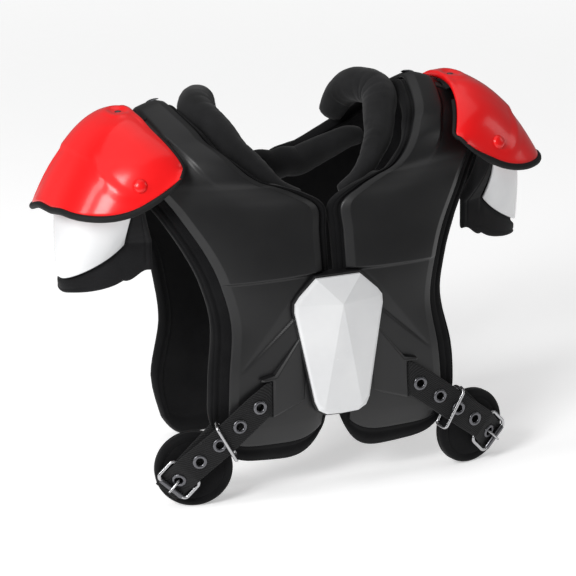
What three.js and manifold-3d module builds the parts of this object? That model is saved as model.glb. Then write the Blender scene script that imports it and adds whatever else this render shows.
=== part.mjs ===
// Football shoulder pad: two padded halves with moulded plates, caps, arm cups, neck rolls and straps.
// Millimetres, +X to the wearer's left, -Y to the front, +Z up. It stands on its round pads and back edge.
import * as THREE from "three";
import { mergeVertices } from "three/addons/utils/BufferGeometryUtils.js";
import Module from "manifold-3d";

const wasm = await Module();
wasm.setup();
const { Vector3 } = THREE;

// Sizes that the tables take their shares of
const span = 200;
const reach = 100;
const rise = 400;

// Walls, edges and gaps
const seat = 0.3;
const foam = 12;
const foamEdge = 4;
const plate = 3;
const plateRaise = 1.6;
const archRaise = 3.2;
const archShare = 0.42;
const shellLift = 1;
const neckBorder = 11;
const armBorder = 19;
const webbing = 2;

// Shoulder caps
const capHalfLength = 94;
const capReach = 108;
const capBackReach = 5;
const capBackDrop = 22;
const capWall = 3;
const growShare = 1 / 60;
const capBulge = 4;
const ropeRadius = 2.9;

// Arm cups and their pads
const cupWall = 3;
const cupBulge = 6;
const cupPad = 13;
const cupPadLip = 0.14;
const cupPadFrontLip = 0.25;
const cupPadHang = 16;
const cupPadFrontHang = 28;
const cupPadBackLip = 0.05;

// Neck rolls
const rollRadius = 17;
const collarRadius = 15;

// Sternum plate and back plate
const sternumHalfWidth = 44.5;
const sternumHeight = 134;
const sternumRim = 4;
const sternumRise = 14;
const baseLip = 2;
const basePlate = 3;
const backPlateHalfWidth = 46;
const backPlateHeight = 120;
const backPlateWall = 5;

// Straps, eyelets, keepers and buckles
const strapWidth = 30;
const eyeletHole = 4.6;
const eyeletRadius = 7;
const eyeletWall = 0.8;
const wireRadius = 1.6;
const rollerRadius = 2.7;
const tongueRadius = 1;
const buckleLength = 22;
const buckleWidth = 35.5;
const keeperLength = 41;
const keeperDepth = 14;
const roundPadRadius = 37.5;
const roundPadThickness = 13;
const slotLength = 37.6;
const slotBlockRise = 13;
const slotBlockInner = 5;
const rivetRadius = 6.5;
const rivetHeight = 3.4;

const onPart = (x, y, z) => new Vector3(x * span, y * reach, z * rise);

// One half's sheet, in rows from the front's bottom edge over the shoulder to the back's bottom edge.
// Edges are shares of span, reach and rise; bulge and sag are shares of reach; lean is in degrees from
// the front over the top to the back.
const sheetColumns = ["innerX", "innerY", "innerZ", "outerX", "outerY", "outerZ", "bulge", "lean", "sag"];
const sheetRows = [
  [0.030, -0.95, 0.170, 0.630, -0.98, 0.194, -0.02, 0, 0.43],
  [0.015, -1.03, 0.240, 0.640, -0.97, 0.232, 0.06, 0, 0.20],
  [0.007, -1.03, 0.325, 0.630, -0.95, 0.320, 0.07, 0, 0.07],
  [0.007, -1.01, 0.432, 0.600, -0.83, 0.432, 0.11, 0, 0.01],
  [0.007, -0.95, 0.545, 0.640, -0.76, 0.530, 0.12, 0, 0],
  [0.007, -0.90, 0.632, 0.700, -0.68, 0.602, 0.10, 5, 0],
  [0.008, -0.86, 0.692, 0.790, -0.57, 0.680, 0.10, 10, 0],
  [0.110, -0.85, 0.728, 0.830, -0.50, 0.710, 0.09, 15, 0],
  [0.210, -0.83, 0.748, 0.870, -0.43, 0.737, 0.09, 22, 0],
  [0.310, -0.80, 0.765, 0.905, -0.36, 0.760, 0.09, 32, 0],
  [0.400, -0.68, 0.802, 0.935, -0.28, 0.777, 0.09, 44, 0],
  [0.467, -0.47, 0.830, 0.960, -0.17, 0.792, 0.09, 57, 0],
  [0.505, -0.32, 0.860, 0.980, -0.05, 0.790, 0.09, 70, 0],
  [0.545, 0.00, 0.887, 0.995, 0.08, 0.796, 0.10, 82, 0],
  [0.560, 0.21, 0.897, 1.000, 0.21, 0.799, 0.10, 92, 0],
  [0.540, 0.40, 0.875, 0.995, 0.36, 0.790, 0.10, 105, 0],
  [0.505, 0.62, 0.840, 0.975, 0.49, 0.768, 0.10, 122, 0],
  [0.420, 0.75, 0.802, 0.935, 0.60, 0.750, 0.10, 142, 0],
  [0.290, 0.79, 0.765, 0.880, 0.68, 0.705, 0.10, 160, 0],
  [0.150, 0.82, 0.730, 0.815, 0.73, 0.655, 0.10, 170, 0],
  [0.010, 0.84, 0.705, 0.750, 0.77, 0.600, 0.10, 178, 0],
  [0.010, 0.92, 0.600, 0.650, 0.81, 0.512, 0.10, 180, 0],
  [0.010, 0.94, 0.437, 0.600, 0.84, 0.412, 0.09, 180, 0],
  [0.010, 0.93, 0.300, 0.575, 0.86, 0.305, 0.08, 180, 0.04],
  [0.015, 0.91, 0.162, 0.620, 0.87, 0.165, 0.05, 180, 0.12],
  [0.070, 0.88, 0.065, 0.570, 0.87, 0.052, 0.02, 180, 0.26],
];
const lastRow = sheetRows.length - 1;
const creaseRow = 4;

// A value of one column between the rows, on a Catmull-Rom spline
function column(name, v) {
  const c = sheetColumns.indexOf(name);
  const i = Math.min(Math.max(Math.floor(v), 0), lastRow - 1);
  const at = (k) => sheetRows[Math.min(Math.max(k, 0), lastRow)][c];
  const [a, b, d, e] = [at(i - 1), at(i), at(i + 1), at(i + 2)];
  const t = v - i;
  return b + 0.5 * t * (d - a + t * (2 * a - 5 * b + 4 * d - e + t * (3 * (b - d) + e - a)));
}

// The sheet that everything is built on: the foam's outer face
function sheetPoint(u, v) {
  const inner = onPart(column("innerX", v), column("innerY", v), column("innerZ", v));
  const outer = onPart(column("outerX", v), column("outerY", v), column("outerZ", v));
  const lean = THREE.MathUtils.degToRad(column("lean", v));
  const middle = Math.min(Math.abs(2 * u - 1), 1);
  const bulge = column("bulge", v) * reach * (1 - middle ** 2.6);
  const sag = column("sag", v) * reach * (1 - middle ** 4);
  const p = inner.lerp(outer, u).add(new Vector3(0, -Math.cos(lean) * bulge, Math.sin(lean) * bulge - sag));
  p.z = Math.max(p.z, 0);
  return p;
}

// The outward normal of a patch point(u, v), turned to the side that "towards" points to
function patchNormal(point, u, v, du, dv, towards) {
  const a = point(u + du, v).sub(point(u - du, v));
  const b = point(u, v + dv).sub(point(u, v - dv));
  const n = a.cross(b).normalize();
  return n.dot(towards) < 0 ? n.negate() : n;
}

function sheetNormal(u, v) {
  const lean = THREE.MathUtils.degToRad(column("lean", v));
  const inside = THREE.MathUtils.clamp(u, 0.08, 0.92);
  const row = THREE.MathUtils.clamp(v, 0.6, lastRow - 0.9);
  return patchNormal(sheetPoint, inside, row, 0.02, 0.1, new Vector3(0.15, -Math.cos(lean), Math.sin(lean)));
}

// A closed body through rings of equal, even count, the first and last ring closed by strips
function loft(rings) {
  const m = rings[0].length;
  const index = [];
  for (let i = 0; i < rings.length - 1; i++) {
    for (let j = 0; j < m; j++) {
      const [a, b] = [i * m + j, i * m + (j + 1) % m];
      index.push(a, b, b + m, a, b + m, a + m);
    }
  }
  const lid = (start, turn) => {
    for (let k = 0; k < m / 2; k++) {
      const [a, b, c, d] = [k, k + 1, m - k - 1, (m - k) % m].map((j) => start + j);
      const third = k < m / 2 - 1 ? c : d;
      index.push(...(turn ? [a, b, third] : [a, third, b]));
      if (k > 0 && k < m / 2 - 1) index.push(...(turn ? [a, c, d] : [a, d, c]));
    }
  };
  lid(0, false);
  lid((rings.length - 1) * m, true);
  return facingOut(rings.flat(), index);
}

function facingOut(points, index) {
  let volume = 0;
  for (let i = 0; i < index.length; i += 3) {
    const [a, b, c] = [points[index[i]], points[index[i + 1]], points[index[i + 2]]];
    volume += a.dot(b.clone().cross(c));
  }
  if (volume < 0) index.reverse();
  const geometry = new THREE.BufferGeometry();
  geometry.setAttribute("position", new THREE.Float32BufferAttribute(points.flatMap((p) => p.toArray()), 3));
  geometry.setIndex(index);
  geometry.computeVertexNormals();
  return geometry;
}

// The faces of a flat body between two equal outlines of n points
function plateIndex(n) {
  const index = [];
  for (let j = 0; j < n; j++) {
    const k = (j + 1) % n;
    index.push(j, k, n + k, j, n + k, n + j);
    if (j > 0 && j < n - 1) index.push(0, j + 1, j, n, n + j, n + j + 1);
  }
  return index;
}

// A slab between two offsets of a patch, with blunt edges all round; lift(u, v) is its front face's offset
function slab(point, normal, us, vs, back, lift, edge) {
  const width = (v) => point(us[0], v).distanceTo(point(us[us.length - 1], v));
  const at = (u, v, offset) => point(u, v).add(normal(u, v).multiplyScalar(offset));
  const ring = (v, squeeze) => {
    const inset = (edge / width(v));
    const across = us.map((u, i) => (i === 0 ? u + inset : i === us.length - 1 ? u - inset : u));
    const front = (u) => lift(u, v);
    const mid = (u) => (front(u) + back) / 2;
    const face = (u, side) => mid(u) + (side - mid(u)) * squeeze;
    return [
      at(us[0], v, mid(us[0])),
      ...across.map((u) => at(u, v, face(u, front(u)))),
      at(us[us.length - 1], v, mid(us[us.length - 1])),
      ...across.slice().reverse().map((u) => at(u, v, face(u, back))),
    ];
  };
  const n = vs.length;
  return loft(vs.map((v, i) => ring(v, i === 0 || i === n - 1 ? 0.4 : 1)));
}

// Evenly spaced values, ends included
function steps(from, to, count) {
  return Array.from({ length: count + 1 }, (_, i) => from + (to - from) * i / count);
}

// Booleans
const solid = (geometry) => {
  const bare = geometry.clone();
  for (const name of Object.keys(bare.attributes)) if (name !== "position") bare.deleteAttribute(name);
  const merged = mergeVertices(bare, 1e-4);
  return new wasm.Manifold(new wasm.Mesh({
    numProp: 3,
    vertProperties: new Float32Array(merged.attributes.position.array),
    triVerts: new Uint32Array(merged.index.array),
  }));
};

function fromSolid(body) {
  const mesh = body.getMesh();
  const geometry = new THREE.BufferGeometry();
  geometry.setAttribute("position", new THREE.BufferAttribute(new Float32Array(mesh.vertProperties), 3));
  geometry.setIndex(new THREE.BufferAttribute(new Uint32Array(mesh.triVerts), 1));
  geometry.computeVertexNormals();
  return geometry;
}

// What is left of a cut body, without the crumbs
const largest = (body) => body.decompose().sort((a, b) => b.volume() - a.volume())[0];

// The foam body of a half
const sheetAcross = steps(0, 1, 5);
const sheetAlong = [0, 0.15, ...steps(1, lastRow - 1, lastRow - 2), lastRow - 0.15, lastRow];

function linerGeometry(grow = 0) {
  return slab(sheetPoint, sheetNormal, sheetAcross, sheetAlong, -foam - grow, () => grow, foamEdge - grow);
}

// The moulded plate over it, raised above the crease
const plateStart = 0.55;
const plateEnd = lastRow - 0.5;

// The plate's thicker arch runs along the neck side over the shoulder
const archRows = [8.5, 17.5];
const onArch = (t, v) => t < archShare + 0.02 && v > archRows[0] && v < archRows[1];

function shellGeometry(grow = 0) {
  const point = (t, v) => {
    const width = sheetPoint(0, v).distanceTo(sheetPoint(1, v));
    const from = (neckBorder - grow) / width;
    const to = 1 - (armBorder - grow) / width;
    return sheetPoint(from + (to - from) * t, v);
  };
  const normal = (t, v) => sheetNormal(0.1 + 0.75 * t, v);
  const upper = steps(creaseRow + 1, lastRow - 1, lastRow - creaseRow - 2);
  const along = [plateStart, 1, 2, 3, creaseRow - 0.06, creaseRow, ...upper, plateEnd];
  const raise = (t, v) => seat + plate + grow + (onArch(t, v) ? archRaise : v >= creaseRow ? plateRaise : 0);
  return slab(point, normal, [0, 0.17, 0.34, 0.42, 0.47, 0.73, 1], along, shellLift - grow, raise, 1);
}

// The wedge block that the strap comes out of, highest at its outer side, as an outline in x and z,
// in shares of span and rise
const slotX = 0.345 * span;
const slotOutline = [[0.15, 0.425], [0.345, 0.304], [0.345, 0.21], [0.17, 0.235]];
const slotSeatY = -1.02 * reach - plate;

function slotFrontY(x) {
  const innerX = slotOutline[0][0] * span;
  return slotSeatY - slotBlockInner - (slotBlockRise - slotBlockInner) * (x - innerX) / (slotX - innerX);
}

function prism(outline, yFront, yBack) {
  const shape = new THREE.Shape(outline.map(([x, z]) => new THREE.Vector2(x, z)));
  const geometry = new THREE.ExtrudeGeometry(shape, { depth: yBack - yFront, bevelEnabled: false });
  geometry.rotateX(Math.PI / 2);
  geometry.translate(0, yBack, 0);
  return geometry;
}

// A polygon with each side moved outward
function grown(outline, grow) {
  const corners = outline.map(([x, z]) => new THREE.Vector2(x, z));
  const outward = (a, b) => new THREE.Vector2(b.y - a.y, a.x - b.x).normalize();
  const turn = THREE.ShapeUtils.area(corners) > 0 ? 1 : -1;
  return corners.map((p, i) => {
    const n = corners.length;
    const [m, k] = [outward(corners[(i + n - 1) % n], p), outward(p, corners[(i + 1) % n])];
    const spread = m.clone().add(k).multiplyScalar(turn * grow / (1 + m.dot(k)));
    return [p.x + spread.x, p.y + spread.y];
  });
}

function shellWithBlock(grow = 0) {
  const outline = grown(slotOutline.map(([x, z]) => [x * span, z * rise]), grow);
  const faces = [(x) => slotFrontY(x) - grow, () => -reach];
  const rings = faces.map((y) => outline.map(([x, z]) => new Vector3(x, y(x), z)));
  const block = solid(facingOut(rings.flat(), plateIndex(outline.length)));
  return fromSolid(solid(shellGeometry(grow)).add(block.subtract(solid(linerGeometry(seat + plate / 2)))));
}

// The patch of a shoulder cap, over an angle from the front corner to the back corner and a share from
// the neck side to the rim
const capCentreY = 0.10 * reach;
const capCornerX = 0.69 * span;
const capCornerZ = 0.8125 * rise;
const capRimZ = 0.7175 * rise;

const capToBack = (angle, from, to) => THREE.MathUtils.smoothstep(-Math.cos(angle), from, to);

function capRim(angle) {
  const [s, c, back] = [Math.max(Math.sin(angle), 0), Math.cos(angle), capToBack(angle, -0.3, 0.5)];
  return new Vector3(
    capCornerX + (capReach + capBackReach * back) * s ** 0.7,
    capCentreY - capHalfLength * Math.sign(c) * Math.abs(c) ** 0.6,
    capRimZ + 0.085 * rise * (1 - s) ** 4 - capBackDrop * back,
  );
}

function capNeckEdge(angle) {
  const [s, c] = [Math.max(Math.sin(angle), 0), Math.cos(angle)];
  return new Vector3(
    capCornerX + 0.105 * span * s ** 1.8,
    capCentreY - 0.87 * capHalfLength * c,
    capCornerZ + 0.0875 * rise * s ** 1.3 - 0.3 * capBackDrop * capToBack(angle, 0.3, 1),
  );
}

function capPoint(angle, t) {
  const [a, b] = [capNeckEdge(angle), capRim(angle)];
  const s = Math.max(Math.sin(angle), 0);
  const p = a.clone().lerp(b, t);
  const tt = THREE.MathUtils.clamp(t, 0, 1);
  p.z = a.z + (b.z - a.z) * Math.max(t, 0) ** 2.2 + capBulge * Math.sqrt(s) * Math.sin(Math.PI * tt ** 0.8);
  return p;
}

function capNormal(angle, t) {
  const [a, b] = [THREE.MathUtils.clamp(angle, 0.12, Math.PI - 0.12), THREE.MathUtils.clamp(t, 0.06, 0.94)];
  return patchNormal(capPoint, a, b, 0.05, 0.03, new Vector3(0.6, 0, 1));
}

function capGeometry(grow = 0) {
  const point = (t, angle) => capPoint(angle, t);
  const normal = (t, angle) => capNormal(angle, t);
  const angles = [0.02, 0.1, ...steps(0.25, Math.PI - 0.25, 11), Math.PI - 0.1, Math.PI - 0.02];
  const across = steps(-grow * growShare, 1 + grow * growShare, 6);
  return slab(point, normal, across, angles, -capWall - grow, () => grow, grow > 0 ? 0 : 0.8);
}

// A tube with round sections along a chain of points
function tube(points, radii, sides) {
  const tangent = (i) => {
    const [a, b] = [points[Math.max(i - 1, 0)], points[Math.min(i + 1, points.length - 1)]];
    return b.clone().sub(a).normalize();
  };
  let side = new Vector3(0.3, 0.2, 1).cross(tangent(0)).normalize();
  return loft(points.map((p, i) => {
    const t = tangent(i);
    side = side.sub(t.clone().multiplyScalar(side.dot(t))).normalize();
    const other = t.clone().cross(side);
    return steps(0, sides - 1, sides - 1).map((k) => {
      const angle = 2 * Math.PI * k / sides;
      const out = side.clone().multiplyScalar(radii[i] * Math.cos(angle));
      return p.clone().add(out).add(other.clone().multiplyScalar(radii[i] * Math.sin(angle)));
    });
  }));
}

function capBindingGeometry() {
  const angles = [0.06, 0.12, ...steps(0.25, Math.PI - 0.25, 11), Math.PI - 0.12, Math.PI - 0.06];
  const points = angles.map((angle) => {
    const rim = capRim(angle);
    const away = rim.clone().sub(capNeckEdge(angle)).normalize();
    const down = capNormal(angle, 0.94).multiplyScalar(-capWall / 2);
    return rim.add(away.multiplyScalar(ropeRadius + seat + 0.2)).add(down);
  });
  const radii = angles.map((_, i) => (i === 0 || i === angles.length - 1 ? 0.5 : 1) * ropeRadius);
  return fromSolid(largest(solid(tube(points, radii, 6)).subtract(solid(capGeometry(seat)))));
}

// The arm cup under the cap, and its pad
const cupStart = 0.42;
const cupTop = 0.7;

function cupEdge(angle) {
  const [s, c] = [Math.max(Math.sin(angle), 0), Math.cos(angle)];
  return new Vector3(
    0.88 * span + 0.31 * span * s ** 2.2,
    capCentreY - 0.5 * capHalfLength * Math.sign(c) * Math.abs(c) ** 0.8,
    0.67 * rise - 0.15 * rise * s ** 1.1,
  );
}

const cupAngle = (share) => cupStart + (Math.PI - 2 * cupStart) * share;
const cupOutward = (angle) => new Vector3(Math.sin(angle), -0.7 * Math.cos(angle), 0).normalize();

function cupPoint(share, t) {
  const angle = cupAngle(share);
  const top = capPoint(angle, cupTop).sub(capNormal(angle, cupTop).multiplyScalar(capWall + 3 * seat));
  const p = top.lerp(cupEdge(angle), t);
  const swell = cupBulge * Math.sin(Math.PI * THREE.MathUtils.clamp(t, 0, 1));
  return p.add(cupOutward(angle).multiplyScalar(swell));
}

function cupNormal(share, t) {
  const [a, b] = [THREE.MathUtils.clamp(share, 0.04, 0.96), THREE.MathUtils.clamp(t, 0.05, 0.95)];
  return patchNormal(cupPoint, a, b, 0.03, 0.03, cupOutward(cupAngle(a)));
}

const cupAcross = steps(0, 1, 4);
const cupAlong = [0, ...steps(0.04, 0.96, 8), 1];

function cupGeometry(grow = 0) {
  const point = (t, share) => cupPoint(share, t);
  const normal = (t, share) => cupNormal(share, t);
  const ends = [-grow * growShare, 1 + grow * growShare];
  const across = [ends[0], ...cupAcross.slice(1, -1), ends[1]];
  const along = [ends[0], ...cupAlong.slice(1, -1), ends[1]];
  return slab(point, normal, across, along, -cupWall - grow, () => grow, grow > 0 ? 0 : 0.8);
}

// How far the pad hangs below the cup's foot: most towards the front
function padHang(share) {
  const towardsBack = THREE.MathUtils.smoothstep(share, -0.12, 0.45);
  const pastFront = THREE.MathUtils.smoothstep(-share, 0, 0.2);
  return cupPadHang + cupPadFrontHang * (1 - towardsBack - 0.5 * pastFront);
}

// The cup's surface, carried on level past its front and back edges, and straight down past its foot
function cupPadPoint(share, t) {
  const [at, depth] = [THREE.MathUtils.clamp(share, 0, 1), Math.min(t, 1)];
  const near = THREE.MathUtils.clamp(share, 0.02, 0.98);
  const slope = cupPoint(near + 0.02, depth).sub(cupPoint(near - 0.02, depth)).divideScalar(0.04).setZ(0);
  const beside = slope.multiplyScalar((share - at) * (0.1 + 0.9 * depth * depth));
  return cupPoint(at, depth).add(beside).add(new Vector3(0, 0, (depth - t) / cupPadLip * padHang(share)));
}

function cupPadGeometry() {
  const point = (t, share) => cupPadPoint(share, t);
  const normal = (t, share) => cupNormal(share, t);
  const front = -cupWall - 6 * seat;
  const shares = [-cupPadFrontLip, ...cupAlong, 1 + cupPadBackLip];
  const across = [...cupAcross, 1 + cupPadLip];
  return slab(point, normal, across, shares, front - cupPad, () => front, 2);
}

// The neck roll's middle line, in shares of span, reach and rise, with its radius as a share of rollRadius
const rollColumns = ["x", "y", "z", "radius"];
const rollRows = [
  [0.110, -0.66, 0.712, 0.29],
  [0.205, -0.60, 0.730, 0.47],
  [0.283, -0.54, 0.770, 0.62],
  [0.364, -0.35, 0.807, 0.80],
  [0.414, -0.15, 0.845, 0.92],
  [0.465, 0.14, 0.880, 1.02],
  [0.415, 0.42, 0.883, 1.02],
  [0.368, 0.59, 0.850, 0.94],
  [0.322, 0.62, 0.808, 0.76],
];

function smoothTable(rows, columns, count) {
  const curve = (a, b, c) => new THREE.CatmullRomCurve3(rows.map((r) => new Vector3(r[a], r[b], r[c])));
  const [path, radius] = [curve(0, 1, 2), curve(3, 3, 3)];
  return steps(0, 1, count).map((t) => {
    const values = [...path.getPoint(t).toArray(), radius.getPoint(t).x];
    return Object.fromEntries(columns.map((name, i) => [name, values[i]]));
  });
}

function neckRollGeometry() {
  const rows = smoothTable(rollRows, rollColumns, 20);
  return tube(rows.map((r) => onPart(r.x, r.y, r.z)), rows.map((r) => r.radius * rollRadius), 10);
}

// The padded band along the back neckline, seated on the foam's inner face
const collarRow = 20;
const collarEndRow = 17;

function backCollarGeometry() {
  const half = steps(collarRow, collarEndRow, 7).map((v) => {
    const toEnd = ((collarRow - v) / (collarRow - collarEndRow)) ** 2;
    const inward = sheetNormal(0.1, v).multiplyScalar(-foam - collarRadius);
    const lift = new Vector3(0, 0, (0.1 - 0.6 * toEnd) * collarRadius);
    return { at: sheetPoint(0.02, v).add(inward).add(lift), radius: collarRadius * (1 - 0.4 * toEnd) };
  });
  const side = half.slice(1);
  const mirrored = side.slice().reverse().map(({ at, radius }) => ({ at: at.clone().setX(-at.x), radius }));
  const chain = [...mirrored, { ...half[0], at: half[0].at.setX(0) }, ...side];
  return tube(chain.map(({ at }) => at), chain.map(({ radius }) => radius), 10);
}

// The faceted sternum plate, as half outlines in shares of its own half width and height from its foot
const sternumFootZ = 0.2 * rise;
const sternumOutline = [
  [0, 0], [0.36, 0.005], [0.54, 0.04], [0.62, 0.10], [1, 0.77], [0.99, 0.83], [0.88, 0.88], [0.5, 1], [0, 1],
];
const sternumApex = [0, 0.82];
const sternumFoot = [0.43, 0.05];
const sternumShelfY = -1.01 * reach - seat - plate - plateRaise - basePlate;

const sternumSpot = ([x, z], grow = 0) => [
  x * (sternumHalfWidth + grow),
  sternumFootZ - grow + z * (sternumHeight + 2 * grow),
];

function sternumLoop(grow = 0) {
  const half = sternumOutline.map((spot) => sternumSpot(spot, grow));
  const left = half.slice(1, -1).reverse().map(([x, z]) => [-x, z]);
  return [...half, ...left];
}

// The plate's back follows the chest: its lower parts stand further forward
function sternumShelf(z) {
  const height = THREE.MathUtils.smoothstep(z, sternumFootZ, sternumFootZ + sternumHeight);
  return sternumShelfY - 0.09 * reach * (1 - height);
}

function sternumPlateGeometry() {
  const back = (z) => sternumShelf(z) - seat;
  const outline = sternumLoop();
  const n = outline.length;
  const middleZ = sternumFootZ + sternumHeight / 2;
  const inset = outline.map(([x, z]) => [x * 0.94, middleZ + (z - middleZ) * 0.975]);
  const apexSpot = sternumSpot(sternumApex);
  const foot = sternumSpot(sternumFoot);
  const points = [
    ...outline.map(([x, z]) => new Vector3(x, back(z), z)),
    ...outline.map(([x, z]) => new Vector3(x, back(z) - 0.7 * sternumRim, z)),
    ...inset.map(([x, z]) => new Vector3(x, back(z) - sternumRim, z)),
    new Vector3(apexSpot[0], back(apexSpot[1]) - sternumRise, apexSpot[1]),
    new Vector3(foot[0], back(foot[1]) - sternumRim - 1.6, foot[1]),
    new Vector3(-foot[0], back(foot[1]) - sternumRim - 1.6, foot[1]),
  ];
  const [apex, footLeft, footRight] = [3 * n, 3 * n + 1, 3 * n + 2];
  const index = [];
  for (let j = 0; j < n; j++) {
    const k = (j + 1) % n;
    for (const [a, b] of [[j, k], [n + j, n + k]]) index.push(a, b, b + n, a, b + n, a + n);
    if (j > 0 && j < n - 1) index.push(0, j + 1, j);
  }
  // Front facets fan from the apex, and from the two foot corners below it
  const corner = (j) => 2 * n + j;
  for (let j = 0; j < n; j++) {
    const k = (j + 1) % n;
    const [a, b] = [outline[j], outline[k]];
    const low = Math.min(a[1], b[1]) < sternumFootZ + 0.3 * sternumHeight;
    const high = Math.max(a[1], b[1]) > sternumFootZ + 0.3 * sternumHeight;
    if (!low) index.push(corner(j), corner(k), apex);
    else if (high) {
      const own = a[0] + b[0] > 0 ? footLeft : footRight;
      const [bottom, top] = a[1] < b[1] ? [j, k] : [k, j];
      const face = [corner(j), corner(k), own];
      index.push(...face, ...(bottom === j ? [corner(top), apex, own] : [apex, corner(top), own]));
    } else index.push(corner(j), corner(k), a[0] + b[0] > 0 ? footLeft : footRight);
  }
  index.push(footLeft, footRight, corner(0));
  index.push(footLeft, apex, footRight);
  return facingOut(points, index);
}

// The solids of some shapes of one half, and their mirror images
function bodies(sideShapes) {
  const flip = new THREE.Matrix4().makeScale(-1, 1, 1);
  return sideShapes.flatMap((geometry) => {
    const mirrored = geometry.clone().applyMatrix4(flip);
    mirrored.setIndex(Array.from(mirrored.index.array).reverse());
    return [solid(geometry), solid(mirrored)];
  });
}

// The plate's black base: a slab cut to the shells behind it
function sternumBaseGeometry() {
  const outline = sternumLoop(baseLip);
  const depth = 0.14 * reach;
  const rings = [0, depth].map((back) => outline.map(([x, z]) => new Vector3(x, sternumShelf(z) + back, z)));
  let base = solid(facingOut(rings.flat(), plateIndex(outline.length)));
  for (const body of bodies([shellWithBlock(seat), linerGeometry(seat)])) base = base.subtract(body);
  return fromSolid(largest(base));
}

// The plain plate that joins the halves at the back
const backPlateFootZ = 0.34 * rise;

function backPlateGeometry() {
  const [w, h] = [backPlateHalfWidth, backPlateHeight];
  const half = [[0.7, 0], [1, 0.15], [1, 0.85], [0.7, 1]].map(([x, z]) => [x * w, backPlateFootZ + z * h]);
  const outline = [...half, ...half.slice().reverse().map(([x, z]) => [-x, z])];
  const outer = 1.04 * reach + plate + backPlateWall;
  let body = solid(prism(outline, 0.9 * reach, outer));
  for (const other of bodies([shellWithBlock(seat), linerGeometry(seat)])) body = body.subtract(other);
  return fromSolid(largest(body));
}

// The strap's middle line in shares, from the slot to the buckle; lift is its height over the buckle's plane
const strapStart = [(slotX + seat) / span, -1.146, 0.257];
const eyeletSpots = [
  [0.412, -1.152, 0.240], [0.515, -1.156, 0.200], [0.615, -1.146, 0.160], [0.710, -1.112, 0.1225],
];
const buckleSpot = [0.802, -1.040, 0.0765];
const buckleNormal = new Vector3(0.24, -0.97, 0).normalize();
const buckleAlong = new Vector3(0.68, 0, -0.70).projectOnPlane(buckleNormal).normalize();
const buckleAcross = buckleNormal.clone().cross(buckleAlong).normalize();
const buckleCorner = 4.5;
const strapTail = 7;
const overBar = wireRadius + seat + webbing / 2;
const underRoller = rollerRadius + seat + webbing / 2;

const buckleFrame = (along, across, lift) => onPart(...buckleSpot)
  .add(buckleAlong.clone().multiplyScalar(along))
  .add(buckleAcross.clone().multiplyScalar(across))
  .add(buckleNormal.clone().multiplyScalar(lift));

function strapPath() {
  const nearBar = buckleFrame(-buckleLength / 2, 0, overBar + seat);
  const fifthEyelet = buckleFrame(0, 0, -seat);
  const farBar = buckleFrame(buckleLength / 2, 0, -underRoller - seat);
  const tail = buckleFrame(buckleLength / 2 + strapTail, 0, -underRoller - seat);
  const before = buckleFrame(-buckleLength / 2 - 5, 0, overBar + seat);
  const spots = [strapStart, ...eyeletSpots].map((spot) => onPart(...spot));
  return [...spots, before, nearBar, fifthEyelet, farBar, tail];
}

// The local frame of a strap at point i of its path: along, across and outward
function strapFrame(points, i) {
  const [before, after] = [points[Math.max(i - 1, 0)], points[Math.min(i + 1, points.length - 1)]];
  const along = after.clone().sub(before).normalize();
  const outward = new Vector3(0, -1, 0).lerp(buckleNormal, THREE.MathUtils.clamp((i - 1) / 4, 0, 1));
  outward.projectOnPlane(along).normalize();
  const across = outward.clone().cross(along).normalize();
  return { along, across, outward };
}

function bandRing(p, across, outward, width, thickness) {
  return [[-1, -1], [1, -1], [1, 1], [-1, 1]].map(([a, b]) => p.clone()
    .add(across.clone().multiplyScalar(a * width / 2))
    .add(outward.clone().multiplyScalar(b * thickness / 2)));
}

function eyeletFrames() {
  const points = strapPath();
  return [1, 2, 3, 4, 7].map((i) => ({ at: points[i], ...strapFrame(points, i) }));
}

function strapGeometry() {
  const points = strapPath();
  const start = bandRing(points[0], new Vector3(0, 0, -1), new Vector3(0, -1, 0), slotLength, webbing);
  const first = strapFrame(points, 1);
  const second = points[0].clone().add(first.along.clone().multiplyScalar(strapWidth / 2));
  const turned = first.across.z > 0 ? -1 : 1;
  const wide = first.across.clone().multiplyScalar(turned);
  const rings = [start, bandRing(second, wide, first.outward, strapWidth, webbing)];
  for (let i = 2; i < points.length; i++) {
    const { across, outward } = strapFrame(points, i);
    const width = i === points.length - 1 ? 0.86 * strapWidth : strapWidth;
    rings.push(bandRing(points[i], across.multiplyScalar(turned), outward, width, webbing));
  }
  let body = solid(loft(rings));
  for (const frame of eyeletFrames()) body = body.subtract(solid(placedAlong(holeGeometry(), frame)));
  return fromSolid(body);
}

const holeGeometry = () => new THREE.CylinderGeometry(eyeletHole, eyeletHole, 6 * webbing, 10);

// Turns a shape made about +Y so that +Y points outward from a strap
function placedAlong(geometry, { at, along, outward }) {
  const across = along.clone().cross(outward).normalize();
  const turn = new THREE.Matrix4().makeBasis(along, outward, across).setPosition(at);
  return geometry.clone().applyMatrix4(turn);
}

function eyeletGeometry(frame) {
  const barrel = eyeletHole - seat;
  const face = webbing / 2 + seat;
  const profile = [
    [barrel - eyeletWall, -webbing / 2], [barrel, -webbing / 2], [barrel, face],
    [eyeletRadius, face], [eyeletRadius - 1, face + 1.4], [barrel - eyeletWall, face + 1.2],
  ];
  const points = profile.map(([r, y]) => new THREE.Vector2(r, y));
  return placedAlong(sealed(new THREE.LatheGeometry([...points, points[0]], 9)), frame);
}

// A lathe or extrusion with its seams joined
function sealed(geometry) {
  return fromSolid(solid(geometry));
}

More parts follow.
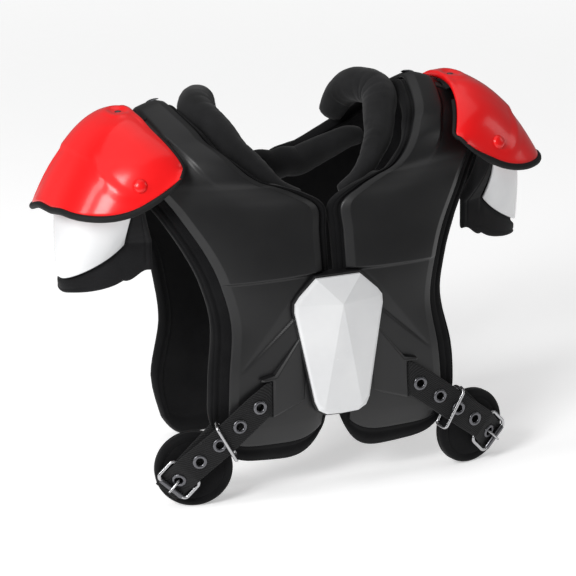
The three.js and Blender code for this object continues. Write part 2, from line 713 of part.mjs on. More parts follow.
// A rounded rectangle of wire, given by its middle, two directions and its half sizes
function wireLoop(middle, a, b, halfA, halfB, corner) {
  const points = [];
  for (const [sa, sb] of [[1, 1], [-1, 1], [-1, -1], [1, -1]]) {
    const turns = sa * sb > 0 ? [0, 1] : [1, 0];
    for (const side of turns) {
      const da = sa * (halfA - (side ? corner : 0));
      const db = sb * (halfB - (side ? 0 : corner));
      points.push(middle.clone().add(a.clone().multiplyScalar(da)).add(b.clone().multiplyScalar(db)));
    }
    const bend = 0.29 * corner;
    const mid = middle.clone()
      .add(a.clone().multiplyScalar(sa * (halfA - bend)))
      .add(b.clone().multiplyScalar(sb * (halfB - bend)));
    points.splice(points.length - 1, 0, mid);
  }
  return sealed(ringTube(points, wireRadius, 6));
}

function ringTube(points, radius, sides) {
  const n = points.length;
  const all = [];
  const middle = points.reduce((sum, p) => sum.add(p), new Vector3()).divideScalar(n);
  const plane = points[0].clone().sub(middle).cross(points[3].clone().sub(middle)).normalize();
  for (let i = 0; i < n; i++) {
    const before = points[i].clone().sub(points[(i + n - 1) % n]).normalize();
    const after = points[(i + 1) % n].clone().sub(points[i]).normalize();
    const t = before.clone().add(after).normalize();
    const out = t.clone().cross(plane).normalize();
    const stretch = 1 / Math.max(t.dot(after), 0.7);
    for (let k = 0; k < sides; k++) {
      const angle = 2 * Math.PI * (k + 0.5) / sides;
      all.push(points[i].clone()
        .add(out.clone().multiplyScalar(radius * stretch * Math.cos(angle)))
        .add(plane.clone().multiplyScalar(radius * Math.sin(angle))));
    }
  }
  const index = [];
  for (let i = 0; i < n; i++) {
    for (let k = 0; k < sides; k++) {
      const [a, b] = [i * sides + k, i * sides + (k + 1) % sides];
      const [c, d] = [((i + 1) % n) * sides + k, ((i + 1) % n) * sides + (k + 1) % sides];
      index.push(a, b, d, a, d, c);
    }
  }
  return facingOut(all, index);
}

function buckleFrameGeometry() {
  const middle = buckleFrame(0, 0, 0);
  const [half, halfWidth] = [buckleLength / 2, buckleWidth / 2];
  const frame = solid(wireLoop(middle, buckleAlong, buckleAcross, half, halfWidth, buckleCorner));
  const roller = new THREE.CylinderGeometry(rollerRadius, rollerRadius, buckleWidth - 2 * buckleCorner, 10);
  const far = { at: buckleFrame(half, 0, 0), along: buckleAlong, outward: buckleAcross };
  return fromSolid(frame.add(solid(placedAlong(roller, far))));
}

function buckleTongueGeometry() {
  const over = rollerRadius + seat + tongueRadius;
  const bar = buckleLength / 2;
  const spots = [
    [-8.2, -0.4], [-4.6, -2.4], [-1.4, -1.6], [1.2, 1.2], [4.5, 3], [bar - 1, over], [bar + 3.2, over],
  ];
  const points = spots.map(([along, lift]) => buckleFrame(along, 0, lift));
  return tube(points, points.map(() => tongueRadius), 6);
}

// The second layer of webbing, from the buckle's near bar back under the strap through the keeper
function buckleStrapGeometry() {
  const lift = -underRoller - seat;
  const spots = [[3, lift + 0.9], [0, lift + 0.9], [-6, lift], [-48, lift]];
  const rings = spots.map(([along, h]) => bandRing(
    buckleFrame(along - buckleLength / 2, 0, h), buckleAcross, buckleNormal, strapWidth - 2, webbing));
  return loft(rings);
}

function roundPadGeometry() {
  const [r, t] = [roundPadRadius, roundPadThickness];
  const profile = [[0, -t], [0.88 * r, -t], [r, -0.75 * t], [r, -0.25 * t], [0.88 * r, 0], [0, 0]];
  const sides = 20;
  const lathe = new THREE.LatheGeometry(profile.map(([x, y]) => new THREE.Vector2(x, y)), sides);
  lathe.rotateY(Math.PI / sides);
  const face = -underRoller - webbing / 2 - 2 * seat;
  const middle = onPart(0.7225, 0, 0);
  middle.z = roundPadRadius * Math.cos(Math.PI / sides);
  const frameSpot = buckleFrame(0, 0, face);
  middle.y = frameSpot.y + (middle.x - frameSpot.x) * 0.24 / 0.97;
  const along = new Vector3(0.97, 0.24, 0).normalize();
  return sealed(placedAlong(lathe, { at: middle, along, outward: buckleNormal }));
}

// The wire keeper round the strap at the panel's lower corner
const keeperSpot = [0.577, -1.134, 0.164];

function strapLoopGeometry() {
  const long = new Vector3(0.47, 0, 0.88).normalize();
  const deep = new Vector3(-0.37, 0.93, 0).projectOnPlane(long).normalize();
  return wireLoop(onPart(...keeperSpot), long, deep, keeperLength / 2, keeperDepth / 2, 3.5);
}

// The webbing band between the shoulder arch and the underside of the cap
const capStrapHalfWidth = 13;
const capStrapSlopes = [0.17, 0.13, 0.02, 0, 0];
const capStrapRow = 13.5;

function capStrapGeometry() {
  const height = plate + 3.5 * seat + webbing / 2;
  const onShell = (u) => sheetPoint(u, capStrapRow).add(sheetNormal(u, capStrapRow).multiplyScalar(height));
  const underCap = (t) => capPoint(Math.PI / 2, t)
    .sub(capNormal(Math.PI / 2, t).multiplyScalar(capWall + 5 * seat + webbing / 2));
  const path = [onShell(0.48), onShell(0.53), underCap(0.14), underCap(0.22), underCap(0.32)];
  const rings = path.map((p, i) => {
    const along = path[Math.min(i + 1, path.length - 1)].clone().sub(path[Math.max(i - 1, 0)]).normalize();
    const across = new Vector3(0, 1, capStrapSlopes[i]).projectOnPlane(along).normalize();
    return bandRing(p, across, along.clone().cross(across).normalize(), 2 * capStrapHalfWidth, webbing);
  });
  return loft(rings);
}

// A domed rivet head on a surface point, along its normal
function rivetGeometry(point, normal, radius, height, sink = 0) {
  const profile = [[0, 0], [1, 0], [0.9, 0.55], [0.5, 0.92], [0, 1]];
  const points = profile.map(([x, y]) => new THREE.Vector2(x * radius, y * height));
  const lathe = new THREE.LatheGeometry(points, 10);
  const along = new Vector3(0, 1, 0).projectOnPlane(normal).normalize();
  const at = point.add(normal.clone().multiplyScalar(1.5 * seat - sink));
  return sealed(placedAlong(lathe, { at, along, outward: normal }));
}

function capRivet(angle, t, radius, height) {
  return rivetGeometry(capPoint(angle, t), capNormal(angle, t), radius, height);
}

// The rivets of one half by name
const rivets = {
  cap_rivet: () => capRivet(0.42, 0.74, rivetRadius, rivetHeight),
  cap_top_rivet: () => capRivet(1.62, 0.14, 0.6 * rivetRadius, 0.5 * rivetHeight),
  cup_rivet: () => {
    const [share, t] = [0.2, 0.42];
    return rivetGeometry(cupPoint(share, t), cupNormal(share, t), rivetRadius, rivetHeight, 3 * seat);
  },
  shoulder_rivet: () => {
    const [u, v] = [0.22, capStrapRow + 0.8];
    const normal = sheetNormal(u, v);
    const point = sheetPoint(u, v).add(normal.clone().multiplyScalar(seat + plate + archRaise));
    return rivetGeometry(point, normal, rivetRadius, 0.6 * rivetHeight, 3 * seat);
  },
};

// Materials
function finish(color, roughness, metalness = 0) {
  return new THREE.MeshStandardMaterial({ color, roughness, metalness });
}
const fabric = finish(0x141415, 0.9);
const mouldedPlate = finish(0x1c1c1e, 0.45);
const capPlastic = finish(0xe81d1f, 0.22);
const palePlastic = finish(0xe9eaec, 0.3);
const strapWebbing = finish(0x121213, 0.85);
const metal = finish(0x8a8c90, 0.25, 1);

function named(name, geometry, material) {
  const mesh = new THREE.Mesh(geometry, material);
  mesh.name = name;
  return mesh;
}

function padHalf(side) {
  const half = new THREE.Group();
  const add = (name, geometry, material) => half.add(named(`${name}_${side}`, geometry, material));
  add("liner", linerGeometry(), fabric);
  add("shell", shellWithBlock(), mouldedPlate);
  add("neck_roll", neckRollGeometry(), fabric);
  add("cap", capGeometry(), capPlastic);
  add("cap_binding", capBindingGeometry(), fabric);
  add("cap_strap", capStrapGeometry(), strapWebbing);
  add("cup", cupGeometry(), palePlastic);
  add("cup_pad", cupPadGeometry(), fabric);
  add("strap", strapGeometry(), strapWebbing);
  eyeletFrames().forEach((frame, i) => add(`eyelet_${i + 1}`, eyeletGeometry(frame), metal));
  add("strap_loop", strapLoopGeometry(), metal);
  add("buckle_frame", buckleFrameGeometry(), metal);
  add("buckle_tongue", buckleTongueGeometry(), metal);
  add("buckle_strap", buckleStrapGeometry(), strapWebbing);
  add("round_pad", roundPadGeometry(), fabric);
  for (const [name, make] of Object.entries(rivets)) {
    add(name, make(), name.startsWith("cap") ? capPlastic : metal);
  }
  return half;
}

const pad = new THREE.Group();
const left = padHalf("l");
const right = padHalf("r");
right.scale.x = -1;
pad.add(left, right);
pad.add(named("sternum_plate", sternumPlateGeometry(), palePlastic));
pad.add(named("sternum_base", sternumBaseGeometry(), mouldedPlate));
pad.add(named("back_plate", backPlateGeometry(), mouldedPlate));
pad.add(named("back_collar", backCollarGeometry(), fabric));

// The origin is under the middle of the whole pad
const bounds = new THREE.Box3().setFromObject(pad);
pad.position.y = -(bounds.min.y + bounds.max.y) / 2;
const model = new THREE.Group();
model.add(pad);
model.updateMatrixWorld(true);

export default model;
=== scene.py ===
# A football shoulder pad on a pale studio floor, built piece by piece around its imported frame.
import math

import bmesh
import bpy
import numpy as np
from mathutils import Matrix, Vector


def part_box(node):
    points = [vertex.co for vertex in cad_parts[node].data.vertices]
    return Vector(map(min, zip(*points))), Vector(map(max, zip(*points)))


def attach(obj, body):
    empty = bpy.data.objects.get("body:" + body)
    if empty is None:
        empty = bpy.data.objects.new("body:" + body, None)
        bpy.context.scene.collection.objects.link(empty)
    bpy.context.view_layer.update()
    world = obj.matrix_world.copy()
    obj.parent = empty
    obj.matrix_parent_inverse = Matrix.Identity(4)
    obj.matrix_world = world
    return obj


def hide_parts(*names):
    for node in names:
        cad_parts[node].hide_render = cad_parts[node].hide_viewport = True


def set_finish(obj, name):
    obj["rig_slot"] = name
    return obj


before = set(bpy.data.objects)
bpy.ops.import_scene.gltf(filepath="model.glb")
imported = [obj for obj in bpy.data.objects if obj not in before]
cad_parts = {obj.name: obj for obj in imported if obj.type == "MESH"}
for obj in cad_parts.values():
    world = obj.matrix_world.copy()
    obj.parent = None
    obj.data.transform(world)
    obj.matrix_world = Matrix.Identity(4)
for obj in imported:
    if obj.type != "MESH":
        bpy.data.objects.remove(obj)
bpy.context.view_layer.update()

# The camera, floor and light
# A long lens looks at the whole pad from a little above and from the wearer's right. The white floor
# glows faintly and fades out far away. A soft box and a strip stand on the left, a weak box on the
# right and a wide one hangs above. The sky is dim for the pad and white for the camera.
AIM = Vector((-0.0105, -0.00202, 0.171))
DISTANCE = 3.0
SENSOR, LENS = 36, 192.94
AZIMUTH, ELEVATION, ROLL = math.radians(-21.4), math.radians(19.0), math.radians(-0.6)

back = Vector((
    math.sin(AZIMUTH) * math.cos(ELEVATION),
    -math.cos(AZIMUTH) * math.cos(ELEVATION),
    math.sin(ELEVATION),
))
level = Vector((math.cos(AZIMUTH), math.sin(AZIMUTH), 0))
upright = back.cross(level)
right = math.cos(ROLL) * level + math.sin(ROLL) * upright
up = math.cos(ROLL) * upright - math.sin(ROLL) * level
lens = bpy.data.cameras.new("studio_camera")
lens.sensor_width = SENSOR
lens.lens = LENS
lens.clip_start, lens.clip_end = 0.1, 50
camera = bpy.data.objects.new("studio_camera", lens)
turn = Matrix((right, up, back)).transposed().to_4x4()
camera.matrix_world = Matrix.Translation(AIM + DISTANCE * back) @ turn
bpy.context.scene.collection.objects.link(camera)
bpy.context.scene.camera = camera


def softbox(name, place, aim, width, height, watts):
    """A soft rectangular light that looks at a point."""
    light = bpy.data.lights.new(name, "AREA")
    light.shape, light.size, light.size_y, light.energy = "RECTANGLE", width, height, watts
    lamp = bpy.data.objects.new(name, light)
    lamp.location = place
    lamp.rotation_mode = "QUATERNION"
    lamp.rotation_quaternion = (Vector(place) - Vector(aim)).to_track_quat("Z", "Y")
    bpy.context.scene.collection.objects.link(lamp)


CHEST = (0, 0, 0.2)
SKY, FLOOR_GLOW = 0.2, 0.37
softbox("left_softbox", (-1.85, -1.25, 1.6), CHEST, 0.9, 1.0, 46)
softbox("right_softbox", (2.1, -0.5, 1.2), CHEST, 0.6, 1.2, 4)
softbox("side_strip", (-2.3, -0.1, 1.2), CHEST, 0.5, 1.3, 16)
softbox("top_softbox", (-0.2, 0.3, 2.4), CHEST, 3.2, 2.4, 15)
bpy.context.scene.view_settings.view_transform = "Standard"
world = bpy.data.worlds.new("studio")
bpy.context.scene.world = world
world.use_nodes = True
sky = world.node_tree.nodes["Background"]
sky.inputs["Color"].default_value = (1, 1, 1, 1)
sky.inputs["Strength"].default_value = SKY
seen = world.node_tree.nodes.new("ShaderNodeBackground")
seen.inputs["Color"].default_value = (1, 1, 1, 1)
rays = world.node_tree.nodes.new("ShaderNodeLightPath")
either = world.node_tree.nodes.new("ShaderNodeMixShader")
world.node_tree.links.new(rays.outputs["Is Camera Ray"], either.inputs[0])
world.node_tree.links.new(sky.outputs[0], either.inputs[1])
world.node_tree.links.new(seen.outputs[0], either.inputs[2])
world.node_tree.links.new(either.outputs[0], world.node_tree.nodes["World Output"].inputs["Surface"])


class Value:
    """One output of a finish's nodes, so that shader maths reads as plain expressions."""

    def __init__(self, finish, socket):
        self.finish, self.socket = finish, socket

    def _math(self, operation, *values):
        return self.finish.node("ShaderNodeMath", {"operation": operation}, dict(enumerate(values)))

    def __add__(self, other):
        return self._math("ADD", self, other)

    def __sub__(self, other):
        return self._math("SUBTRACT", self, other)

    def __rsub__(self, other):
        return self._math("SUBTRACT", other, self)

    def __mul__(self, other):
        return self._math("MULTIPLY", self, other)

    def sine(self):
        return self._math("SINE", self)

    def clamped(self, low, high):
        limits = {"Value": self, "From Min": low, "From Max": high}
        return self.finish.node("ShaderNodeMapRange", {}, limits)

    __radd__, __rmul__ = __add__, __mul__


class Finish:
    """A material whose nodes are made as they are used."""

    def __init__(self, name, **constants):
        self.material = bpy.data.materials.new(name)
        self.material.use_nodes = True
        self.tree = self.material.node_tree
        self.shader = self.tree.nodes["Principled BSDF"]
        for key, value in constants.items():
            self.feed(self.shader.inputs[key.replace("_", " ")], value)

    def feed(self, socket, value):
        if isinstance(value, Value):
            self.tree.links.new(value.socket, socket)
        else:
            socket.default_value = value

    def node(self, kind, settings, inputs, output=0):
        made = self.tree.nodes.new(kind)
        for key, value in settings.items():
            setattr(made, key, value)
        for key, value in inputs.items():
            self.feed(made.inputs[key], value)
        return Value(self, made.outputs[output])

    def place(self):
        return self.node("ShaderNodeTexCoord", {}, {}, "Object")

    def along_and_across(self):
        """Distances along and across a band, in metres."""
        place = self.node("ShaderNodeTexCoord", {}, {}, "UV")
        split = self.node("ShaderNodeSeparateXYZ", {}, {"Vector": place})
        return split, Value(self, split.socket.node.outputs[1])

    def noise(self, size, detail=3.0):
        inputs = {"Vector": self.place(), "Scale": 1 / size, "Detail": detail}
        return self.node("ShaderNodeTexNoise", {}, inputs)

    def cells(self, size):
        return self.node("ShaderNodeTexVoronoi", {}, {"Vector": self.place(), "Scale": 1 / size})

    def blend(self, factor, low, high):
        sockets = {0: factor, 6: (*low, 1), 7: (*high, 1)}
        return self.node("ShaderNodeMix", {"data_type": "RGBA"}, sockets, 2)

    def bump(self, height, depth, strength=1.0):
        self.feed(self.shader.inputs["Normal"], self.node("ShaderNodeBump", {}, {
            "Height": height, "Distance": depth, "Strength": strength}))

    def set(self, name, value):
        self.feed(self.shader.inputs[name], value)


floor_finish = Finish(
    "white_sweep", Roughness=0.6, Emission_Color=(1, 1, 1, 1), Emission_Strength=FLOOR_GLOW)
floor_finish.set("Base Color", floor_finish.blend(
    floor_finish.noise(0.5, 2.0), (0.955, 0.955, 0.96), (0.97, 0.97, 0.97)))
spread = floor_finish.node("ShaderNodeVectorMath", {"operation": "LENGTH"}, {0: floor_finish.place()}, 1)
FADE_FROM, FADE_TO = 0.7, 2.4
floor_finish.set("Alpha", 1 - spread.clamped(FADE_FROM, FADE_TO))
floor_mesh = bpy.data.meshes.new("floor")
FLOOR_HALF = 8.0
floor_corners = [(x * FLOOR_HALF, y * FLOOR_HALF, 0) for x, y in ((-1, -1), (1, -1), (1, 1), (-1, 1))]
floor_mesh.from_pydata(floor_corners, [], [(0, 1, 2, 3)])
floor = bpy.data.objects.new("floor", floor_mesh)
floor.data.materials.append(floor_finish.material)
bpy.context.scene.collection.objects.link(floor)

# The padded halves
# Each half is one contoured sheet of 12 mm foam in black knit cloth that runs from the ribs over
# the shoulder to the back. A bound rim with two rows of stitching goes round its edge.
MM = 0.001
SPAN, REACH, RISE = 200, 100, 400
FOAM = 12
SHEET = dict(
    inner_x=[.030, .015, .007, .007, .007, .007, .008, .110, .210, .310, .400, .467, .505, .545, .560, .540,
             .505, .420, .290, .150, .010, .010, .010, .010, .015, .070],
    inner_y=[-.95, -1.03, -1.03, -1.01, -.95, -.90, -.86, -.85, -.83, -.80, -.68, -.47, -.32, .00, .21, .40,
             .62, .75, .79, .82, .84, .92, .94, .93, .91, .88],
    inner_z=[.170, .240, .325, .432, .545, .632, .692, .728, .748, .765, .802, .830, .860, .887, .897, .875,
             .840, .802, .765, .730, .705, .600, .437, .300, .162, .065],
    outer_x=[.630, .640, .630, .600, .640, .700, .790, .830, .870, .905, .935, .960, .980, .995, 1.000, .995,
             .975, .935, .880, .815, .750, .650, .600, .575, .620, .570],
    outer_y=[-.98, -.97, -.95, -.83, -.76, -.68, -.57, -.50, -.43, -.36, -.28, -.17, -.05, .08, .21, .36,
             .49, .60, .68, .73, .77, .81, .84, .86, .87, .87],
    outer_z=[.194, .232, .320, .432, .530, .602, .680, .710, .737, .760, .777, .792, .790, .796, .799, .790,
             .768, .750, .705, .655, .600, .512, .412, .305, .165, .052],
    bulge=[-.02, .06, .07, .11, .12, .10, .10, .09, .09, .09, .09, .09, .09, .10, .10, .10,
           .10, .10, .10, .10, .10, .10, .09, .08, .05, .02],
    lean=[*[0] * 5, 5, 10, 15, 22, 32, 44, 57, 70, 82, 92, 105, 122, 142, 160, 170, 178, *[180] * 5],
    sag=[.43, .20, .07, .01, *[0] * 19, .04, .12, .26],
)
LAST_ROW = 25
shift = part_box("back_plate")[1].y - 0.112


def column(name, v):
    """A column of the sheet's table between its rows, on a smooth curve."""
    values = np.array(SHEET[name], float)
    v = np.asarray(v, float)
    i = np.clip(np.floor(v).astype(int), 0, LAST_ROW - 1)
    a, b, c, d = (values[np.clip(i + k, 0, LAST_ROW)] for k in (-1, 0, 1, 2))
    t = v - i
    return b + 0.5 * t * (c - a + t * (2 * a - 5 * b + 4 * c - d + t * (3 * (b - c) + d - a)))


def sheet_point(u, v):
    """The foam's outer face, in millimetres: u goes from the neck side to the arm side."""
    u, v = np.broadcast_arrays(np.asarray(u, float), np.asarray(v, float))
    size = np.array([SPAN, REACH, RISE])
    inner = np.stack([column("inner_" + axis, v) for axis in "xyz"], -1) * size
    outer = np.stack([column("outer_" + axis, v) for axis in "xyz"], -1) * size
    lean = np.radians(column("lean", v))
    middle = np.minimum(np.abs(2 * u - 1), 1)
    bulge = column("bulge", v) * REACH * (1 - middle**2.6)
    sag = column("sag", v) * REACH * (1 - middle**4)
    p = inner + (outer - inner) * u[..., None]
    p[..., 1] -= np.cos(lean) * bulge
    p[..., 2] += np.sin(lean) * bulge - sag
    p[..., 2] = np.maximum(p[..., 2], 0)
    return p


def unit(vectors):
    return vectors / np.maximum(np.linalg.norm(vectors, axis=-1, keepdims=True), 1e-9)


def patch_normal(point, u, v, du, dv, towards):
    """The normal of a patch, turned to the side that towards points to."""
    a = point(u + du, v) - point(u - du, v)
    b = point(u, v + dv) - point(u, v - dv)
    n = unit(np.cross(a, b))
    return n * np.where((n * towards).sum(-1, keepdims=True) < 0, -1, 1)


def sheet_normal(u, v):
    u, v = np.broadcast_arrays(np.asarray(u, float), np.asarray(v, float))
    lean = np.radians(column("lean", v))
    towards = np.stack([np.full_like(lean, 0.15), -np.cos(lean), np.sin(lean)], -1)
    near_u, near_v = np.clip(u, 0.08, 0.92), np.clip(v, 0.6, LAST_ROW - 0.9)
    return patch_normal(sheet_point, near_u, near_v, 0.02, 0.1, towards)


def smoothstep(x, low, high):
    t = np.clip((x - low) / (high - low), 0, 1)
    return t * t * (3 - 2 * t)


def placed(points):
    """Millimetres in the pattern's frame to metres in the part's frame."""
    p = np.asarray(points, float).reshape(-1, 3) * MM
    p[:, 1] += shift
    return p


def piece(name, points, faces, finish, uv=None, weld=True, slot=None):
    """A named mesh that rides on the part, its faces turned outward."""
    mesh = bpy.data.meshes.new(name)
    mesh.from_pydata(placed(points).tolist(), [], faces)
    if uv is not None:
        layer = mesh.uv_layers.new(name="cloth")
        flat = np.asarray(uv, float).reshape(-1, 2)
        index = np.zeros(len(mesh.loops), int)
        mesh.loops.foreach_get("vertex_index", index)
        layer.data.foreach_set("uv", flat[index].ravel())
    form = bmesh.new()
    form.from_mesh(mesh)
    if weld:
        bmesh.ops.remove_doubles(form, verts=form.verts, dist=1e-5)
    bmesh.ops.dissolve_degenerate(form, edges=form.edges, dist=1e-6)
    bmesh.ops.recalc_face_normals(form, faces=form.faces)
    if form.calc_volume(signed=True) < 0:
        bmesh.ops.reverse_faces(form, faces=form.faces)
    form.to_mesh(mesh)
    form.free()
    mesh.polygons.foreach_set("use_smooth", [True] * len(mesh.polygons))
    made = bpy.data.objects.new(name, mesh)
    bpy.context.scene.collection.objects.link(made)
    mesh.materials.append(finish.material)
    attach(made, "root")
    if slot:
        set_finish(made, slot)
    return made


def other_side(made, name):
    """The mirror image of a left piece."""
    mesh = made.data.copy()
    mesh.name = name
    mesh.transform(Matrix.Scale(-1, 4, (1, 0, 0)))
    mesh.flip_normals()
    twin = bpy.data.objects.new(name, mesh)
    bpy.context.scene.collection.objects.link(twin)
    for modifier in made.modifiers:
        copy = twin.modifiers.new(modifier.name, modifier.type)
        for key in ("width", "segments", "limit_method", "angle_limit", "harden_normals"):
            setattr(copy, key, getattr(modifier, key))
    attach(twin, "root")
    if "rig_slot" in made:
        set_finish(twin, made["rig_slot"])
    return twin


def pair(made, node=None):
    """Makes the right piece from the left one. Both stand for their nodes, whose imported pieces are hidden.
    """
    twin = other_side(made, made.name[:-1] + "r")
    for one, side in ((made, "l"), (twin, "r")):
        for name in [node] if isinstance(node, str) else node or []:
            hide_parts(f"{name}_{side}")
    return made, twin


def grid_faces(rows, columns, start=0, around=False):
    """Quads between the points of a grid, also from its last column to its first if it goes around."""
    faces = []
    for i in range(rows - 1):
        for j in range(columns if around else columns - 1):
            k = (j + 1) % columns
            a, b = start + i * columns + j, start + i * columns + k
            faces.append((a, b, b + columns, a + columns))
    return faces


def slab(name, point, normal, u, v, inside, outside, edge, radius, finish, slot=None):
    """A closed sheet between two offsets of a patch. Its edges are rounded over a radius, and edge is
    each point's distance from the rim."""
    rows, columns = u.shape
    p, n = point(u, v), normal(u, v)
    round_off = np.sqrt(1 - (1 - np.clip(edge / radius, 0, 1)) ** 2)
    middle = (inside + outside) / 2
    points, faces = [], []
    for k, side in enumerate((outside, inside)):
        points.append((p + n * (middle + (side - middle) * round_off)[..., None]).reshape(-1, 3))
        faces += grid_faces(rows, columns, k * rows * columns)
    return piece(name, np.concatenate(points), faces, finish, slot=slot)


def across_rows(width, near, count):
    """Distances from the inner side on each row, close together along both edges."""
    near = np.asarray(near, float)
    width = width[:, None]
    middle = near[-1] + (width - 2 * near[-1]) * np.linspace(0, 1, count)[None, 1:-1]
    rim = np.repeat(near[None], len(width), 0)
    return np.hstack([rim, middle, width - rim[:, ::-1]])


def ripple(p, size, seed):
    """A slow, fixed unevenness between -1 and 1."""
    a = np.sin(p @ np.array([1.0, 0.7, 0.4]) / size + seed)
    b = np.sin(p @ np.array([-0.5, 1.1, 0.9]) / size * 1.7 + 2.1 * seed)
    c = np.sin(p @ np.array([0.8, -0.6, 1.3]) / size * 2.9 + 3.7 * seed)
    return (a + 0.7 * b + 0.5 * c) / 2.2


def knit(name, dark, pale, cell=0.0011, depth=0.0002, sheen=0.06):
    """Black knit cloth over foam, with a fine pebbled surface."""
    cloth = Finish(name, Roughness=0.85, Sheen_Weight=sheen, Sheen_Roughness=0.5, Specular_IOR_Level=0.12)
    fine = cloth.cells(cell)
    slow = cloth.noise(0.03, 4.0)
    cloth.set("Base Color", cloth.blend(slow.clamped(0.3, 0.75), dark, pale))
    cloth.set("Roughness", 0.78 + 0.16 * slow)
    cloth.bump(fine + 0.5 * cloth.noise(0.004, 2.0), depth, 0.7)
    return cloth


body_cloth = knit("black_knit", (0.0025, 0.0025, 0.003), (0.007, 0.007, 0.0075))
RIM_RADIUS, STITCH_ROWS = 6.0, (4.4, 9.4)
NEAR_EDGE = [0, 0.3, 1.0, 2.2, 3.6, 4.4, 5.2, 6.6, 8.0, 9.0, 9.8, 10.8, 12.5]
end_rows = np.array([0, 0.012, 0.045, 0.1, 0.16, 0.2, 0.24, 0.3, 0.36, 0.4, 0.45, 0.55, 0.75])
rows_along = np.concatenate([end_rows, np.linspace(1, LAST_ROW - 1, 139), LAST_ROW - end_rows[::-1]])
width = np.linalg.norm(sheet_point(0.0, rows_along) - sheet_point(1.0, rows_along), axis=-1)
far = across_rows(width, NEAR_EDGE, 26)
sheet_v = np.repeat(rows_along[:, None], far.shape[1], 1)
sheet_u = far / width[:, None]
ROW_PITCH = 24
from_ends = np.minimum(rows_along, LAST_ROW - rows_along)[:, None] * ROW_PITCH
from_sides = np.minimum(far, width[:, None] - far)
rim = np.minimum(from_sides, from_ends)
on_sheet = sheet_point(sheet_u, sheet_v)


def stitched_rim(distance):
    """The bound edge's height: a padded welt between two sunk rows of stitches."""
    welt = 1.1 * np.sin(np.pi * np.clip(distance / STITCH_ROWS[1], 0, 1)) ** 0.6
    for row in STITCH_ROWS:
        welt = welt - 1.1 * np.exp(-(((distance - row) / 0.55) ** 2))
    return welt


liner_outside = stitched_rim(rim) - 0.3 + 0.25 * ripple(on_sheet, 9, 1.0)
liner_inside = -FOAM - 0.8 * stitched_rim(rim) + 0.35 * ripple(on_sheet, 14, 2.0)
body = slab("body_pad_l", sheet_point, sheet_normal, sheet_u, sheet_v, liner_inside, liner_outside,
            rim, RIM_RADIUS, body_cloth, "fabric")
pair(body, "liner")

# The moulded plates
# A satin charcoal plate covers each half and stops short of the rim. Its upper panel is raised over
# a level crease, an arch stiffens the shoulder, and wedge grooves fan out below.
NECK_BORDER, ARM_BORDER = 11, 19
PLATE_FOOT_ROW, CREASE_ROW, PLATE_END_ROW = 0.55, 4, 24.5
PLATE_BACK, PLATE_LOW, PLATE_TOP, PLATE_BEVEL, PLATE_ROUND = 0.9, 2.2, 4.2, 8.9, 1.3
plate_finish = Finish("satin_charcoal", Roughness=0.5, Specular_IOR_Level=0.45)
grain = plate_finish.noise(0.0009, 2.0)
slow = plate_finish.noise(0.06, 3.0)
plate_finish.set("Base Color", plate_finish.blend(
    slow.clamped(0.3, 0.7), (0.0045, 0.0045, 0.005), (0.0075, 0.0075, 0.008)))
plate_finish.set("Roughness", 0.32 + 0.1 * slow + 0.08 * grain)
plate_finish.bump(grain, 0.00008, 0.5)

PLATE_EDGE = [0, 0.15, 0.5, 1.1, 1.8, 2.6, 3.6, 5.0, 6.6, 8.2, 8.9, 9.6, 11.5]
crease = CREASE_ROW + np.array([-0.12, -0.08, -0.05, -0.03, -0.012, 0.012, 0.03, 0.06, 0.1, 0.16])
foot = PLATE_FOOT_ROW + np.array([0, 0.006, 0.02, 0.045, 0.08, 0.13, 0.2, 0.3])
end = PLATE_END_ROW - np.array([0.25, 0.16, 0.1, 0.06, 0.03, 0.01, 0])
low_rows = np.concatenate([foot, np.linspace(PLATE_FOOT_ROW + 0.4, CREASE_ROW - 0.16, 95)])
high_rows = np.concatenate([np.linspace(CREASE_ROW + 0.22, PLATE_END_ROW - 0.4, 150), end])
plate_rows = np.concatenate([low_rows, crease, high_rows])
plate_full = np.linalg.norm(sheet_point(0.0, plate_rows) - sheet_point(1.0, plate_rows), axis=-1)
plate_width = plate_full - NECK_BORDER - ARM_BORDER
plate_far = across_rows(plate_width, PLATE_EDGE, 62)
plate_u = (plate_far + NECK_BORDER) / plate_full[:, None]
plate_v = np.repeat(plate_rows[:, None], plate_far.shape[1], 1)
plate_p = sheet_point(plate_u, plate_v)


def wedge(p, tip, root, wide, deep):
    """A groove that widens and deepens from its tip to its root: steep above, sloping below."""
    tip, root = np.array(tip, float), np.array(root, float)
    line = root - tip
    spot = p[..., [0, 2]] - tip
    share = np.clip((spot @ line) / (line @ line), 0, 1.3)
    above = (spot @ np.array([line[1], -line[0]])) / np.linalg.norm(line) * np.sign(line[0])
    reach = 0.5 + wide * share
    slope = np.clip(1 + above / reach, 0, 1) * (1 - smoothstep(above, -0.2, 0.9))
    return deep * share**0.6 * slope * (share > 0)


side_inner = plate_far
side_outer = plate_width[:, None] - plate_far
plate_ends = np.minimum(plate_v - PLATE_FOOT_ROW, PLATE_END_ROW - plate_v) * ROW_PITCH
plate_rim = np.minimum(np.minimum(side_inner, side_outer), plate_ends)
upper = smoothstep(plate_v, CREASE_ROW - 0.045, CREASE_ROW + 0.005)
bevel_side = np.clip(plate_rim / PLATE_BEVEL, 0, 1)
panel = PLATE_LOW + (PLATE_TOP - PLATE_LOW) * bevel_side + upper * (0.6 + 1.6 * bevel_side)
share_across = side_inner / plate_width[:, None]
arch = (1 - smoothstep(share_across, 0.40, 0.47)) * smoothstep(plate_v, 8.3, 10.2)
arch = arch * (1 - smoothstep(plate_v, 16.4, 17.6))
groove = wedge(plate_p, (97, 127), (44, 176), 13, 2.6) * (1 - upper)
panel = panel + 1.7 * arch - groove + 0.12 * ripple(plate_p, 22, 4.0)
shell = slab("plate_l", sheet_point, sheet_normal, plate_u, plate_v, np.full_like(panel, PLATE_BACK), panel,
             plate_rim, PLATE_ROUND, plate_finish, "moulded_plate")

